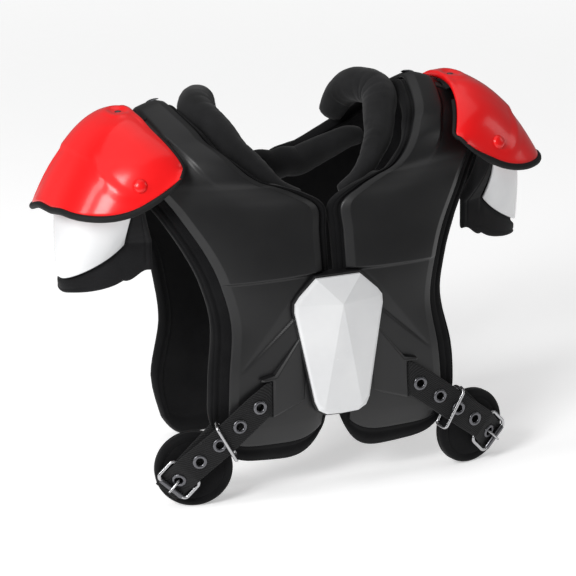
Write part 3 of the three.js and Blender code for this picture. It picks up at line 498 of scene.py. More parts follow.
# The slot block
# The strap comes out of a wedge of the same plastic, highest at its slot, with a small tooth over the
# strap's top edge. It is moulded on the plate.
SLOT_X, BLOCK_BACK, BLOCK_INSET, BLOCK_DROP = 69, -101, 2.6, 1.8
block_outline = np.array([
    (30, 170), (66.5, 125.5), (80, 122.2), (80.5, 120.4), (SLOT_X, 122), (SLOT_X, 83.6), (34, 94)])
block_front = np.array([-111.2, -117.6, -116.6, -116.4, -118.0, -118.0, -112.0])


def rounded_prism(name, outline, front, depth, inset, drop, finish, slot=None):
    """A block with a chamfered front: an outline in x and z, pushed back to a depth."""
    centre = outline.mean(0)
    shrunk = outline + unit(centre - outline) * inset
    n = len(outline)
    layers = ((outline, depth), (outline, front + drop), (shrunk, front))
    rings = [np.insert(flat, 1, y, 1) for flat, y in layers]
    faces = grid_faces(3, n, 0, True) + [tuple(range(n)), tuple(range(2 * n, 3 * n))]
    return piece(name, np.concatenate(rings), faces, finish, slot=slot)


def eased(made, width, segments=3, angle=25):
    """Rounds a piece's crisp edges."""
    bevel = made.modifiers.new("eased", "BEVEL")
    bevel.width, bevel.segments = width * MM, segments
    bevel.limit_method, bevel.angle_limit = "ANGLE", math.radians(angle)
    bevel.harden_normals = True
    return made


block = rounded_prism("slot_block_l", block_outline, block_front, BLOCK_BACK, BLOCK_INSET, BLOCK_DROP,
                      plate_finish, "moulded_plate")
eased(block, 0.5)
pair(shell, "shell")
pair(block)

# The shoulder caps
# Glossy red caps of 3 mm plastic, moulded with a raised side panel, a long crease over the front and a
# recess for the top rivet. A black rope is bound over the lower rim and round the front corner.
CAP_HALF, CAP_REACH, CAP_WALL, CAP_BULGE, CAP_ROUND = 94, 108, 3, 4, 1.4
CAP_Y, CAP_X, CAP_Z, CAP_RIM_Z, CAP_BACK_REACH, CAP_BACK_DROP = 10, 138, 325, 287, 5, 22
CAP_CORNER_RISE, CAP_NECK_REACH, CAP_CROWN = 34, 21, 35
cap_finish = Finish(
    "gloss_red", Roughness=0.35, Specular_IOR_Level=0.2, Coat_Weight=0.5, Coat_Roughness=0.17)
cap_slow = cap_finish.noise(0.05, 3.0)
cap_finish.set("Base Color", cap_finish.blend(
    cap_slow.clamped(0.3, 0.7), (0.82, 0.004, 0.005), (0.88, 0.006, 0.008)))
cap_finish.set("Roughness", 0.3 + 0.08 * cap_finish.noise(0.004, 4.0))
cap_finish.bump(cap_finish.noise(0.012, 2.0), 0.0001, 0.3)


def cap_rim(angle):
    """The cap's lower edge. The angle runs from the front corner round the side to the back corner."""
    s, c, behind = np.maximum(np.sin(angle), 0), np.cos(angle), smoothstep(-np.cos(angle), -0.3, 0.5)
    return np.stack([CAP_X + (CAP_REACH + CAP_BACK_REACH * behind) * s**0.7,
                     CAP_Y - CAP_HALF * np.sign(c) * np.abs(c) ** 0.6,
                     CAP_RIM_Z + CAP_CORNER_RISE * (1 - s) ** 4 - CAP_BACK_DROP * behind], -1)


def cap_neck_edge(angle):
    s, c, behind = np.maximum(np.sin(angle), 0), np.cos(angle), smoothstep(-np.cos(angle), 0.3, 1)
    return np.stack([CAP_X + CAP_NECK_REACH * s**1.8, CAP_Y - 0.87 * CAP_HALF * c,
                     CAP_Z + CAP_CROWN * s**1.3 - 0.3 * CAP_BACK_DROP * behind], -1)


def cap_point(t, angle):
    """The cap's outer face, in millimetres: t goes from the neck edge to the lower edge."""
    t, angle = np.broadcast_arrays(np.asarray(t, float), np.asarray(angle, float))
    a, b = cap_neck_edge(angle), cap_rim(angle)
    s = np.maximum(np.sin(angle), 0)
    p = a + (b - a) * t[..., None]
    arc = CAP_BULGE * np.sqrt(s) * np.sin(np.pi * np.clip(t, 0, 1) ** 0.8)
    p[..., 2] = a[..., 2] + (b - a)[..., 2] * np.maximum(t, 0) ** 2.2 + arc
    return p


def cap_normal(t, angle):
    t, angle = np.broadcast_arrays(np.asarray(t, float), np.asarray(angle, float))
    near_t, near_angle = np.clip(t, 0.06, 0.94), np.clip(angle, 0.12, np.pi - 0.12)
    return patch_normal(cap_point, near_t, near_angle, 0.03, 0.05, np.array([0.6, 0, 1.0]))


end_angles = np.array([0.02, 0.03, 0.05, 0.08])
cap_angles = np.concatenate([end_angles, np.linspace(0.12, np.pi - 0.12, 121), np.pi - end_angles[::-1]])
end_shares = np.array([0, 0.004, 0.012, 0.025])
cap_shares = np.concatenate([end_shares, np.linspace(0.045, 0.955, 66), 1 - end_shares[::-1]])
cap_t, cap_a = np.meshgrid(cap_shares, cap_angles)
cap_length = np.linalg.norm(cap_rim(cap_angles) - cap_neck_edge(cap_angles), axis=-1)[:, None]
CAP_SPREAD = 90
cap_ends = np.minimum(cap_a, np.pi - cap_a) * CAP_SPREAD
cap_edge = np.minimum(np.minimum(cap_t, 1 - cap_t) * cap_length, cap_ends)


def ridge(share, angle, start, end, wide):
    """Height of a creased line between two spots of the cap, 1 on it and 0 beside it."""
    spot = np.stack([share, angle], -1) * CAP_SPREAD
    a, b = np.array(start) * CAP_SPREAD, np.array(end) * CAP_SPREAD
    line = b - a
    s = np.clip(((spot - a) @ line) / (line @ line), 0, 1)
    off = np.linalg.norm(spot - a - s[..., None] * line, axis=-1)
    return np.clip(1 - off / wide, 0, 1) * np.sin(np.pi * np.clip(s, 0.02, 0.98)) ** 0.5


side_panel = smoothstep(cap_a, 1.0, 1.32) * (1 - smoothstep(cap_a, 1.85, 2.1))
cap_relief = 1.3 * ridge(cap_t, cap_a, (0.87, 0.42), (0.65, 1.34), 6)
cap_relief = cap_relief + 1.3 * ridge(cap_t, cap_a, (0.64, 1.80), (1.04, 2.0), 8)
cap_relief = cap_relief + 1.7 * side_panel * (1 - smoothstep(cap_t, 0.655, 0.70))
TOP_RIVET, FRONT_RIVET = (0.14, 1.62), (0.74, 0.42)
dimple = np.hypot((cap_t - TOP_RIVET[0]) * CAP_SPREAD, (cap_a - TOP_RIVET[1]) * 60)
cap_relief = cap_relief - 2.0 * (1 - smoothstep(dimple, 5, 9)) + 0.9 * np.exp(-(((dimple - 11) / 3) ** 2))
cap_relief = cap_relief + 0.8 * (1 - smoothstep(cap_t, 0.03, 0.08)) * side_panel
cap = slab("cap_shell_l", cap_point, cap_normal, cap_t, cap_a, np.full_like(cap_relief, -CAP_WALL),
           cap_relief, cap_edge, CAP_ROUND, cap_finish, "cap_plastic")
pair(cap, "cap")


def transported(path):
    """Directions along, beside and above each point of a path, without twist."""
    path = np.asarray(path, float)
    along = unit(np.gradient(path, axis=0))
    beside = np.zeros_like(along)
    beside[0] = unit(np.cross([0.3, 0.2, 1.0], along[0]))
    for i in range(1, len(path)):
        step = beside[i - 1] - along[i] * (beside[i - 1] @ along[i])
        beside[i] = unit(step)
    return along, beside, np.cross(along, beside)


def smooth_line(points, count):
    """Evenly spread points of a smooth curve through some points, with any extra columns."""
    points = np.asarray(points, float)
    last = len(points) - 1
    t = np.linspace(0, last, 40 * last + 1)
    i = np.clip(np.floor(t).astype(int), 0, last - 1)
    a, b, c, d = (points[np.clip(i + k, 0, last)] for k in (-1, 0, 1, 2))
    s = (t - i)[:, None]
    line = b + 0.5 * s * (c - a + s * (2 * a - 5 * b + 4 * c - d + s * (3 * (b - c) + d - a)))
    length = np.concatenate([[0], np.cumsum(np.linalg.norm(np.diff(line[:, :3], axis=0), axis=1))])
    even = np.linspace(0, length[-1], count)
    return np.stack([np.interp(even, length, line[:, k]) for k in range(line.shape[1])], 1)


def closing_faces(rows, columns):
    """Quads from a tube's last ring back to its first."""
    last = (rows - 1) * columns
    return [(last + j, last + (j + 1) % columns, (j + 1) % columns, j) for j in range(columns)]


def end_faces(rows, columns):
    """A flat face over each end of a tube."""
    return [tuple(range(columns)), tuple(range((rows - 1) * columns, rows * columns))]


def tube(name, path, radii, sides, finish, closed=False, relief=None, slot=None):
    """A round tube along a path, with domed ends, or closed into a ring."""
    path = np.asarray(path, float)
    radii = np.broadcast_to(np.asarray(radii, float), (len(path),))
    along, beside, above = transported(path)
    if closed:
        ahead = unit(np.roll(path, -1, 0) - np.roll(path, 1, 0))
        above = unit(np.cross(path[0] - path.mean(0), path[len(path) // 4] - path.mean(0)))
        above = np.broadcast_to(above, path.shape)
        beside = unit(np.cross(above, ahead))
    angle = np.linspace(0, 2 * np.pi, sides, endpoint=False)
    if not closed:
        dome_angles = np.array([0.12, 0.35, 0.7, 1.1])
        dome, lift = np.sin(dome_angles), np.cos(dome_angles)
        head = path[0] - along[0] * radii[0] * 0.6 * lift[:, None]
        tail = path[-1] + along[-1] * radii[-1] * 0.6 * lift[::-1, None]
        path = np.concatenate([head, path, tail])
        radii = np.concatenate([radii[0] * dome, radii, radii[-1] * dome[::-1]])
        beside = np.concatenate([np.repeat(beside[:1], 4, 0), beside, np.repeat(beside[-1:], 4, 0)])
        above = np.concatenate([np.repeat(above[:1], 4, 0), above, np.repeat(above[-1:], 4, 0)])
    around = beside[:, None] * np.cos(angle)[:, None] + above[:, None] * np.sin(angle)[:, None]
    size = np.repeat(radii[:, None], sides, 1)
    if relief:
        size = size + relief(path, angle)
    points = path[:, None] + around * size[..., None]
    n = len(path)
    faces = grid_faces(n, sides, 0, True)
    faces += closing_faces(n, sides) if closed else end_faces(n, sides)
    return piece(name, points.reshape(-1, 3), faces, finish, slot=slot)


ROPE = 3.3
rope_finish = Finish("black_rope", Roughness=0.7, Specular_IOR_Level=0.25)
rope_finish.set("Base Color", rope_finish.blend(
    rope_finish.noise(0.002, 3.0), (0.003, 0.003, 0.003), (0.009, 0.009, 0.0095)))
rope_finish.bump(rope_finish.cells(0.0012), 0.0002, 0.8)
corner_angles = np.linspace(0.2, 0.06, 8)
long_angles = np.linspace(np.pi - 0.25, 0.25, 90)
rim_angles = np.concatenate([np.pi - corner_angles[::-1], long_angles, corner_angles])
rim_line = cap_rim(rim_angles)
neck_angles = np.linspace(0.1, 0.95, 24)
side_shares = np.linspace(0.97, 0.03, 10)
edge_line = np.concatenate([rim_line, cap_point(side_shares, 0.03), cap_neck_edge(neck_angles)])
edge_normal = np.concatenate([cap_normal(0.94, rim_angles), cap_normal(side_shares, 0.12),
                              cap_normal(0.06, neck_angles)])
away = unit(np.cross(unit(np.gradient(edge_line, axis=0)), edge_normal))
away = away * np.sign((away * (edge_line - cap_point(0.5, np.pi / 2))).sum(1))[:, None]
edge_line = edge_line + away * 0.6 * ROPE - edge_normal * CAP_WALL / 2
ROPE_STEPS = 190
rope_path = smooth_line(edge_line[::3], ROPE_STEPS)
rope_size = ROPE * (1 - 0.38 * smoothstep(np.arange(float(ROPE_STEPS)), 146, 156))
binding = tube("cap_rope_l", rope_path, rope_size, 12, rope_finish, slot="fabric")
pair(binding, "cap_binding")

# The cap webbing
# A 26 mm band of black webbing is riveted to the shoulder arch. It runs out under the cap, which
# hangs on it.
WEBBING = 2


def webbing_finish(name, dark, pale, rib, slant):
    """Black webbing with ribs slanted across the band and fine threads along it."""
    band = Finish(name, Roughness=0.7, Sheen_Weight=0.05, Specular_IOR_Level=0.2)
    x, y = band.along_and_across()
    ribs = ((x + slant * y) * (2 * math.pi / rib)).sine()
    threads = (y * (2 * math.pi / 0.0011)).sine()
    band.set("Base Color", band.blend(ribs.clamped(-1, 1), dark, pale))
    band.set("Roughness", 0.6 + 0.15 * ribs.clamped(-1, 1))
    band.bump(0.6 * ribs + 0.25 * threads + 0.3 * band.noise(0.0007, 2.0), 0.0003, 0.8)
    return band


RIB_PITCH, RIB_SLANT = 0.0021, 0.55
strap_finish = webbing_finish(
    "black_webbing", (0.002, 0.002, 0.002), (0.016, 0.016, 0.017), RIB_PITCH, RIB_SLANT)


def band(name, path, across, outward, widths, thickness, finish, slot="webbing"):
    """A flat band with rounded edges along a path, with lengths along and across it as its pattern."""
    path, across, outward = (np.asarray(a, float) for a in (path, across, outward))
    widths = np.broadcast_to(np.asarray(widths, float), (len(path),))
    h = thickness / 2
    below = [(-1, 0), (-0.97, -0.8), (-0.9, -1), (-0.5, -1), (0, -1), (0.5, -1), (0.9, -1), (0.97, -0.8)]
    sides = below + [(-a, -b) for a, b in below]
    length = np.concatenate([[0], np.cumsum(np.linalg.norm(np.diff(path, axis=0), axis=1))])
    points, uv = [], []
    for a, b in sides:
        points.append(path + across * (a * widths / 2)[:, None] + outward * (b * h))
        uv.append(np.stack([length, a * widths / 2], 1) * MM)
    n, m = len(path), len(sides)
    points = np.stack(points, 1).reshape(-1, 3)
    faces = grid_faces(n, m, 0, True) + end_faces(n, m)
    return piece(name, points, faces, finish, np.stack(uv, 1).reshape(-1, 2), False, slot)


SLING_ROW, SLING_WIDTH, SIDE_ANGLE = 13.5, 26, np.pi / 2
on_shell = [sheet_point(u, SLING_ROW) + sheet_normal(u, SLING_ROW) * 5.2 for u in (0.40, 0.44, 0.48, 0.53)]
under_cap = [cap_point(t, SIDE_ANGLE) - cap_normal(t, SIDE_ANGLE) * (CAP_WALL + 2.5)
             for t in (0.14, 0.22, 0.32)]
sling_path = smooth_line(np.array([*on_shell, *under_cap]), 24)
sling_along = unit(np.gradient(sling_path, axis=0))
sling_slope = np.interp(np.arange(24), [0, 8, 15], [0.17, 0.13, 0])
sling_across = np.stack([np.zeros(24), np.ones(24), sling_slope], 1)
sling_across = unit(sling_across - sling_along * (sling_across * sling_along).sum(1, keepdims=True))
sling_out = unit(np.cross(sling_along, sling_across))
sling_out = sling_out * np.where(sling_out[:, 2:] < 0, -1, 1)
sling = band("cap_sling_l", sling_path, sling_across, sling_out, SLING_WIDTH, WEBBING, strap_finish)
pair(sling, "cap_strap")

# The arm cups
# A white plastic cup, glossy and domed, hangs under each cap over the upper arm. It is backed by a pad
# of foam in black cloth, which shows past its front and lower edges.
CUP_START, CUP_TOP, CUP_WALL, CUP_BULGE, CUP_ROUND, CUP_PAD = 0.42, 0.7, 3, 6, 1.5, 13
CUP_X, CUP_REACH, CUP_Z, CUP_DROP = 176, 62, 268, 60
white_finish = Finish("gloss_white", Roughness=0.22, Coat_Weight=0.3, Coat_Roughness=0.1)
white_finish.set("Base Color", white_finish.blend(
    white_finish.noise(0.04, 3.0).clamped(0.3, 0.7), (0.69, 0.695, 0.705), (0.75, 0.755, 0.76)))
white_finish.set("Roughness", 0.2 + 0.1 * white_finish.noise(0.006, 4.0))


def cup_edge(angle):
    s, c = np.maximum(np.sin(angle), 0), np.cos(angle)
    return np.stack([CUP_X + CUP_REACH * s**2.2, CAP_Y - 0.5 * CAP_HALF * np.sign(c) * np.abs(c) ** 0.8,
                     CUP_Z - CUP_DROP * s**1.1], -1)


def cup_outward(angle):
    return unit(np.stack([np.sin(angle), -0.7 * np.cos(angle), np.zeros_like(angle)], -1))


def cup_point(t, share):
    t, share = np.broadcast_arrays(np.asarray(t, float), np.asarray(share, float))
    angle = CUP_START + (np.pi - 2 * CUP_START) * share
    top = cap_point(CUP_TOP, angle) - cap_normal(CUP_TOP, angle) * (CAP_WALL + 0.9)
    p = top + (cup_edge(angle) - top) * t[..., None]
    return p + cup_outward(angle) * (CUP_BULGE * np.sin(np.pi * np.clip(t, 0, 1)))[..., None]


def cup_normal(t, share):
    t, share = np.broadcast_arrays(np.asarray(t, float), np.asarray(share, float))
    share = np.clip(share, 0.04, 0.96)
    towards = cup_outward(CUP_START + (np.pi - 2 * CUP_START) * share)
    return patch_normal(cup_point, np.clip(t, 0.05, 0.95), share, 0.03, 0.03, towards)


def close_at_ends(low, high, count):
    """Values from low to high that lie closer together towards both."""
    return low + (high - low) * (0.5 - 0.5 * np.cos(np.pi * np.linspace(0, 1, count))) ** 0.9


cup_t, cup_s = np.meshgrid(close_at_ends(0, 1, 60), close_at_ends(0, 1, 90))
cup_rim_distance = np.minimum(np.minimum(cup_t, 1 - cup_t) * 95, np.minimum(cup_s, 1 - cup_s) * 190)
cup = slab("arm_cup_l", cup_point, cup_normal, cup_t, cup_s, np.full_like(cup_t, -CUP_WALL),
           np.zeros_like(cup_t), cup_rim_distance, CUP_ROUND, white_finish, "pale_plastic")
pair(cup, "cup")
pad_cloth = knit("cup_cloth", (0.005, 0.005, 0.0055), (0.011, 0.011, 0.012), 0.0012, sheen=0.08)
PAD_HANG, FRONT_HANG = 16, 28


def pad_point(t, share):
    """The cup's surface, carried on level past its sides and straight down past its foot."""
    t, share = np.broadcast_arrays(np.asarray(t, float), np.asarray(share, float))
    at, near, depth = np.clip(share, 0, 1), np.clip(share, 0.02, 0.98), np.minimum(t, 1)
    slope = (cup_point(depth, near + 0.02) - cup_point(depth, near - 0.02)) / 0.04
    slope[..., 2] = 0
    p = cup_point(depth, at) + slope * ((share - at) * (0.1 + 0.9 * depth**2))[..., None]
    hang = PAD_HANG + FRONT_HANG * (1 - smoothstep(share, -0.12, 0.45) - 0.5 * smoothstep(-share, 0, 0.2))
    p[..., 2] -= (t - depth) / (PAD_LOW - 1) * hang
    return p


PAD_TOP, PAD_LOW, PAD_FRONT, PAD_BACK, PAD_FACE, PAD_ROUND = 0.02, 1.14, -0.25, 1.05, -4.8, 6.5
pad_t, pad_s = np.meshgrid(close_at_ends(PAD_TOP, PAD_LOW, 80), close_at_ends(PAD_FRONT, PAD_BACK, 120))
pad_rim = np.minimum(np.minimum(pad_t - PAD_TOP, (PAD_LOW - pad_t) * 2.2) * 95,
                     np.minimum(pad_s - PAD_FRONT, PAD_BACK - pad_s) * 130)
beyond = np.maximum(pad_t - 1, np.maximum(-pad_s, pad_s - 1) * 1.3)
pad_outside = PAD_FACE + 3.4 * smoothstep(beyond, 0.01, 0.05) - 0.9 * np.exp(-(((pad_rim - 9) / 1.2) ** 2))
pad_outside = pad_outside + 0.25 * ripple(pad_point(pad_t, pad_s), 7, 5.0)
cup_pad = slab("cup_pad_cover_l", pad_point, cup_normal, pad_t, pad_s,
               np.full_like(pad_t, PAD_FACE - CUP_PAD), pad_outside, pad_rim, PAD_ROUND, pad_cloth,
               "fabric")
pair(cup_pad, "cup_pad")

# The neck rolls
# A stuffed roll of knit cloth stands along each side of the neck opening. It thickens to the top,
# folds over the shoulder and runs down behind, with gathers where it bends.
ROLL = 17
roll_rows = np.array([
    [.110, -.66, .712, .29], [.205, -.60, .730, .47], [.283, -.54, .770, .62], [.364, -.35, .807, .80],
    [.414, -.15, .845, .92], [.465, .14, .880, 1.02], [.415, .42, .883, 1.02], [.368, .59, .850, .94],
    [.322, .62, .808, .76]])
roll_line = smooth_line(roll_rows * np.array([SPAN, REACH, RISE, ROLL]), 120)


def roll_folds(path, angle):
    """Gathers on the inner side of the bend, and slow unevenness."""
    n = len(path)
    s = np.linspace(0, 1, n)[:, None]
    bend = np.exp(-(((s - 0.62) / 0.1) ** 2)) + 0.6 * np.exp(-(((s - 0.3) / 0.12) ** 2))
    folds = np.maximum(np.sin(s * 150 + 1.4 * np.sin(angle * 2 + s * 20)), 0) ** 2
    points = path[:, None] + 10 * np.stack([np.cos(angle), np.sin(angle), np.sin(2 * angle)], -1)[None]
    return -0.9 * bend * folds * (0.5 + 0.5 * np.sin(angle + 1.0)) + 0.45 * ripple(points, 8, 6.0)


roll_cloth = knit("roll_cloth", (0.008, 0.008, 0.0085), (0.018, 0.018, 0.019), depth=0.00022, sheen=0.12)
roll = tube("neck_cushion_l", roll_line[:, :3], roll_line[:, 3], 40, roll_cloth, relief=roll_folds,
            slot="fabric")
pair(roll, "neck_roll")

# The back collar and back plate
# A stuffed band of the same cloth as the rolls crosses inside the back neckline. A plain plate over
# the back holds the two halves together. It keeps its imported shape, with its edges eased.
COLLAR, COLLAR_ROW, COLLAR_END_ROW = 15, 20, 17
collar_v = np.linspace(COLLAR_ROW, COLLAR_END_ROW, 33)
to_end = ((COLLAR_ROW - collar_v) / (COLLAR_ROW - COLLAR_END_ROW)) ** 2
collar_half = sheet_point(0.02, collar_v) + sheet_normal(0.1, collar_v) * (-FOAM - COLLAR)
collar_half[:, 2] += (0.1 - 0.6 * to_end) * COLLAR
collar_half = np.column_stack([collar_half, COLLAR * (1 - 0.4 * to_end)])
collar_half[0, 0] = 0
collar_right = collar_half[:0:-1] * np.array([-1, 1, 1, 1])
collar_line = smooth_line(np.concatenate([collar_right, collar_half])[::2], 110)


def collar_ripple(path, angle):
    around = 10 * np.stack([np.cos(angle), np.sin(angle), 0 * angle], -1)
    return 0.4 * ripple(path[:, None] + around[None], 9, 7.0)


collar = tube("collar_cushion", collar_line[:, :3], collar_line[:, 3], 36, roll_cloth, relief=collar_ripple,
              slot="fabric")
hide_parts("back_collar")


def dressed(node, finish):
    """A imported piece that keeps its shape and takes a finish."""
    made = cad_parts[node]
    made.data.materials.clear()
    made.data.materials.append(finish.material)
    return made


eased(dressed("back_plate", plate_finish), 1.2)

# The sternum plate
# A faceted white plastic shield over a black base closes the chest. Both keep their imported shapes,
# the shield with a soft rounding along its facets and rim.
eased(dressed("sternum_plate", white_finish), 1.0, 4, 8)
eased(dressed("sternum_base", plate_finish), 0.4)

# The straps and eyelets
# A 30 mm strap of black webbing leaves each slot and runs down and out to the buckle, with five
# blackened metal eyelets. A second layer comes back under it from the buckle.
buckle_spot = np.array([0.802 * SPAN, -1.040 * REACH, 0.0765 * RISE])
buckle_out = unit(np.array([0.24, -0.97, 0]))
buckle_along = np.array([0.68, 0, -0.70])
buckle_along = unit(buckle_along - buckle_out * (buckle_along @ buckle_out))
buckle_across = unit(np.cross(buckle_out, buckle_along))
STRAP_WIDTH, WIRE, ROLLER, BUCKLE_LENGTH, BUCKLE_WIDTH, GAP = 30, 1.6, 2.7, 22, 35.5, 0.3
OVER_BAR, UNDER_ROLLER = WIRE + GAP + WEBBING / 2, ROLLER + GAP + WEBBING / 2


def at_buckle(along, across, lift):
    return buckle_spot + buckle_along * along + buckle_across * across + buckle_out * lift


bar = BUCKLE_LENGTH / 2
strap_points = np.array([
    (69.3, -114.6, 102.8), (82.4, -115.2, 96.0), (103.0, -115.6, 80.0), (123.0, -114.6, 64.0),
    (142.0, -111.2, 49.0), at_buckle(-bar - 5, 0, OVER_BAR + GAP), at_buckle(-bar, 0, OVER_BAR + GAP),
    at_buckle(0, 0, -GAP), *[at_buckle(bar + along, 0, -UNDER_ROLLER - GAP) for along in (0, 7)]])
LAST_POINT, STEPS = len(strap_points) - 1, 110


def strap_axes(i):
    along = unit(strap_points[min(i + 1, LAST_POINT)] - strap_points[max(i - 1, 0)])
    mix = min(max((i - 1) / 4, 0), 1)
    outward = np.array([0.0, -1.0, 0.0]) * (1 - mix) + buckle_out * mix
    outward = unit(outward - along * (outward @ along))
    return along, unit(np.cross(outward, along)), outward


strap_line = smooth_line(strap_points, STEPS)
near_point = np.linalg.norm(strap_line[:, None] - strap_points[None], axis=-1).argmin(0)
axes = [strap_axes(i) for i in range(LAST_POINT + 1)]
turned = [(a if a[2] < 0 else -a) for _, a, _ in axes]
spots = np.concatenate([[0], near_point[1:-1], [STEPS - 1]])
step = np.arange(float(STEPS))


def between_spots(directions):
    """Directions along the strap, from those at its points."""
    return unit(np.stack([np.interp(step, spots, [d[k] for d in directions]) for k in range(3)], 1))


start_blend = smoothstep(step, 0, 11)[:, None]
across_line = unit(np.array([[0, 0, -1.0]]) * (1 - start_blend) + between_spots(turned) * start_blend)
out_line = between_spots([outward for _, _, outward in axes])
strap_width = STRAP_WIDTH + 7.6 * (1 - smoothstep(step, 0, 9)) - 4.2 * smoothstep(step, 104, STEPS - 1)
strap = band("strap_band_l", strap_line, across_line, out_line, strap_width, WEBBING, strap_finish)
PUNCH_RADIUS, PUNCH_DEPTH = 4.55, 12


def punched(made, holes):
    """Cuts round holes through a strap for good."""
    for at, outward in holes:
        spin = Vector(outward).to_track_quat("Z", "Y").to_matrix().to_4x4()
        where = Matrix.Translation(Vector(placed(at)[0])) @ spin
        form = bmesh.new()
        bmesh.ops.create_cone(form, cap_ends=True, segments=24, radius1=PUNCH_RADIUS * MM,
                              radius2=PUNCH_RADIUS * MM, depth=PUNCH_DEPTH * MM, matrix=where)
        mesh = bpy.data.meshes.new("punch")
        form.to_mesh(mesh)
        form.free()
        punch = bpy.data.objects.new("punch", mesh)
        bpy.context.scene.collection.objects.link(punch)
        cut = made.modifiers.new("hole", "BOOLEAN")
        cut.operation, cut.object, cut.solver = "DIFFERENCE", punch, "EXACT"
        bpy.context.view_layer.update()
        done = bpy.data.meshes.new_from_object(made.evaluated_get(bpy.context.evaluated_depsgraph_get()))
        made.modifiers.clear()
        made.data = done
        bpy.data.objects.remove(punch)


eyelets = [(strap_points[i], axes[i][2]) for i in (1, 2, 3, 4, 7)]
punched(strap, eyelets)
pair(strap, "strap")


def nickel(name, dark, pale, smooth, uneven):
    """Plated metal whose colour and polish vary a little."""
    metal = Finish(name, Metallic=1.0)
    metal.set("Base Color", metal.blend(metal.noise(0.01, 3.0), dark, pale))
    metal.set("Roughness", smooth + uneven * metal.noise(0.003, 4.0))
    return metal


dark_metal = nickel("dark_nickel", (0.10, 0.10, 0.11), (0.17, 0.17, 0.18), 0.2, 0.16)
bright_metal = nickel("bright_nickel", (0.38, 0.38, 0.39), (0.5, 0.5, 0.51), 0.16, 0.14)


def lathed(name, profile, at, outward, finish, sides=40, closed=True, slot=None):
    """A turned piece: a profile of radius and height about an axis."""
    outward = unit(np.asarray(outward, float))
    side = unit(np.cross(outward, [0.2, 0.3, 0.9]))
    other = np.cross(outward, side)
    angle = np.linspace(0, 2 * np.pi, sides, endpoint=False)
    profile = np.asarray(profile, float)
    ring = side * np.cos(angle)[:, None] + other * np.sin(angle)[:, None]
    points = np.asarray(at, float) + ring[None] * profile[:, None, :1] + outward * profile[:, None, 1:]
    n = len(profile)
    faces = grid_faces(n, sides, 0, True) + (closing_faces(n, sides) if closed else [])
    return piece(name, points.reshape(-1, 3), faces, finish, slot=slot)


EYELET = [(3.5, -1), (4.25, -1), (4.3, 1.25), (7, 1.25), (7.05, 1.6), (6.6, 2.1), (5.8, 2.45), (4.9, 2.5),
          (4.1, 2.2), (3.6, 1.5)]
for i, (at, out) in enumerate(eyelets):
    ring = lathed(f"eyelet_ring_{i + 1}_l", EYELET, at, out, dark_metal, 36, slot="metal")
    pair(ring, f"eyelet_{i + 1}")

UNDER_LENGTH, UNDER_WIDTH, UNDER_STEPS = 48, 28, 40
lift = -UNDER_ROLLER - GAP
under_points = [at_buckle(a - bar, 0, h) for a, h in (
    (3, lift + 0.9), (0, lift + 0.9), (-6, lift), (-UNDER_LENGTH, lift))]
under_line = smooth_line(under_points, UNDER_STEPS)
level_across, level_out = (np.repeat(v[None], UNDER_STEPS, 0) for v in (buckle_across, buckle_out))
under = band("buckle_band_l", under_line, level_across, level_out, UNDER_WIDTH, WEBBING, strap_finish)
pair(under, "buckle_strap")

# The keeper loops and buckles
# A wire loop holds both layers at the pad's lower corner. The buckle is a wire frame with a roller
# on its far bar and one tongue, which goes through the fifth eyelet and rests on the roller.


def wire_loop(name, middle, a, b, half_a, half_b, corner, radius, finish):
    """A closed rounded rectangle of wire."""
    points = []
    for sa, sb in ((1, 1), (-1, 1), (-1, -1), (1, -1)):
        centre = (sa * (half_a - corner), sb * (half_b - corner))
        begin = math.atan2(sb, sa) - math.pi / 4
        for k in range(9):
            angle = begin + k * math.pi / 16
            along, aside = centre[0] + corner * math.cos(angle), centre[1] + corner * math.sin(angle)
            points.append(middle + a * along + b * aside)
    return tube(name, np.array(points), radius, 14, finish, closed=True, slot="metal")


keeper_long = unit(np.array([0.47, 0, 0.88]))
keeper_deep = np.array([-0.37, 0.93, 0])
keeper_deep = unit(keeper_deep - keeper_long * (keeper_deep @ keeper_long))
keeper_spot = np.array([0.577 * SPAN, -1.134 * REACH, 0.164 * RISE])
KEEPER_LONG, KEEPER_DEEP, KEEPER_CORNER, BUCKLE_CORNER = 20.5, 7, 3.6, 4.5
keeper = wire_loop("keeper_l", keeper_spot, keeper_long, keeper_deep, KEEPER_LONG, KEEPER_DEEP,
                   KEEPER_CORNER, WIRE, bright_metal)
pair(keeper, "strap_loop")
buckle = wire_loop("buckle_wire_l", at_buckle(0, 0, 0), buckle_along, buckle_across, bar, BUCKLE_WIDTH / 2,
                   BUCKLE_CORNER, WIRE + 0.15, bright_metal)
half_roller = [(1.9, 13.2), (2.55, 13.2), (ROLLER, 12.8)]
roller_profile = [(radius, -height) for radius, height in half_roller] + half_roller[::-1]
roller = lathed("buckle_roller_l", roller_profile, at_buckle(bar, 0, 0), buckle_across, dark_metal, 28,
                slot="metal")
pair(buckle, "buckle_frame")
pair(roller)
PIN = 1.15
over = ROLLER + GAP + 1
tongue_points = [at_buckle(a, 0, h) for a, h in (
    (-8.2, -0.4), (-4.6, -2.4), (-1.4, -1.6), (1.2, 1.2), (4.5, 3), (bar - 1, over), (bar + 3.2, over))]
tongue = tube("buckle_pin_l", smooth_line(tongue_points, 50), PIN, 14, bright_metal, slot="metal")
pair(tongue, "buckle_tongue")

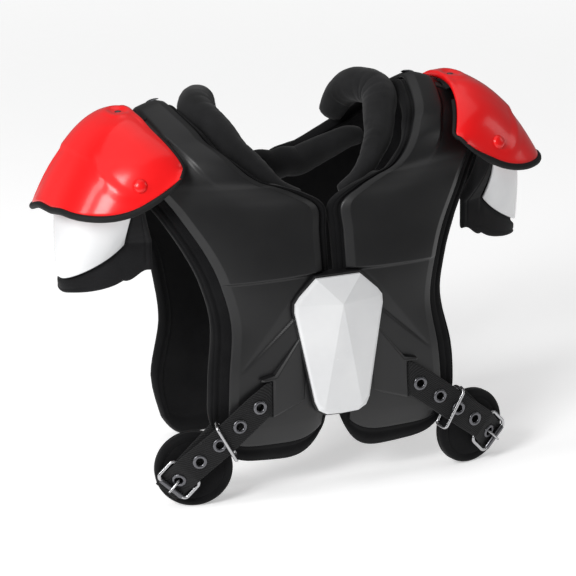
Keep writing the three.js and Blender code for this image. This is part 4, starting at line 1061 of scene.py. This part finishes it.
# The round pads
# A round padded disc backs each buckle and touches the floor. It is black cloth with a thick bound
# ring round it and a flat felt face.
PAD_RADIUS, PAD_THICK = 37.5, 13
disc_face = -UNDER_ROLLER - WEBBING / 2 - 2 * GAP
disc_middle = np.array([144.5, 0, PAD_RADIUS * math.cos(math.pi / 20)])
face_spot = at_buckle(0, 0, disc_face)
disc_middle[1] = face_spot[1] + (disc_middle[0] - face_spot[0]) * 0.24 / 0.97
r, t = PAD_RADIUS, PAD_THICK
disc_back = [(0.01, 1.2), (0.4 * r, 0.6), (0.72 * r, 0.9), (0.78 * r, 1.6), (0.82 * r, 0.9), (0.90 * r, 0.3),
             (0.965 * r, 0.14 * t), (0.995 * r, 0.32 * t)]
disc_front = [(0.985 * r, 0.5 * t), (0.995 * r, 0.32 * t), (0.965 * r, 0.12 * t), (0.90 * r, 0.3),
              (0.82 * r, 0.8), (0.78 * r, 1.7), (0.72 * r, 1.0), (0.4 * r, 0.5), (0.01, 0.4)]
disc_profile = [(a, height - t) for a, height in disc_back] + [(a, -depth) for a, depth in disc_front]
disc = lathed("round_cushion_l", smooth_line(disc_profile, 90), disc_middle, buckle_out, body_cloth, 96,
              closed=False, slot="fabric")
pair(disc, "round_pad")

# The rivets
# Domed heads fix the caps, cups and webbing. They are red plastic on the caps' fronts, dark metal on
# the shoulders and the caps' tops, and white plastic on the cups.
DOME = [(0, 1), (0.25, 0.97), (0.5, 0.86), (0.7, 0.7), (0.86, 0.46), (0.96, 0.2), (1, 0), (1, -0.12),
        (0, -0.12)]


def rivet(name, at, out, radius, height, finish, slot):
    profile = np.array(DOME) * np.array([radius, height])
    profile[[0, -1], 0] = 0.01
    head = lathed(f"{name}_stud_l", smooth_line(profile, 40), at, out, finish, 36, closed=False, slot=slot)
    pair(head, f"{name}_rivet")


for name, point, normal, spot, lift, radius, height, finish, slot in (
        ("cap", cap_point, cap_normal, FRONT_RIVET, 0.45, 6.5, 3.4, cap_finish, "cap_plastic"),
        ("cap_top", cap_point, cap_normal, TOP_RIVET, -1.2, 3.9, 1.7, dark_metal, "metal"),
        ("cup", cup_point, cup_normal, (0.42, 0.2), 0.2, 6.0, 2.6, white_finish, "pale_plastic"),
        ("shoulder", sheet_point, sheet_normal, (0.22, 14.3), 7.5, 6.5, 1.8, dark_metal, "metal")):
    rivet(name, point(*spot) + lift * normal(*spot), normal(*spot), radius, height, finish, slot)
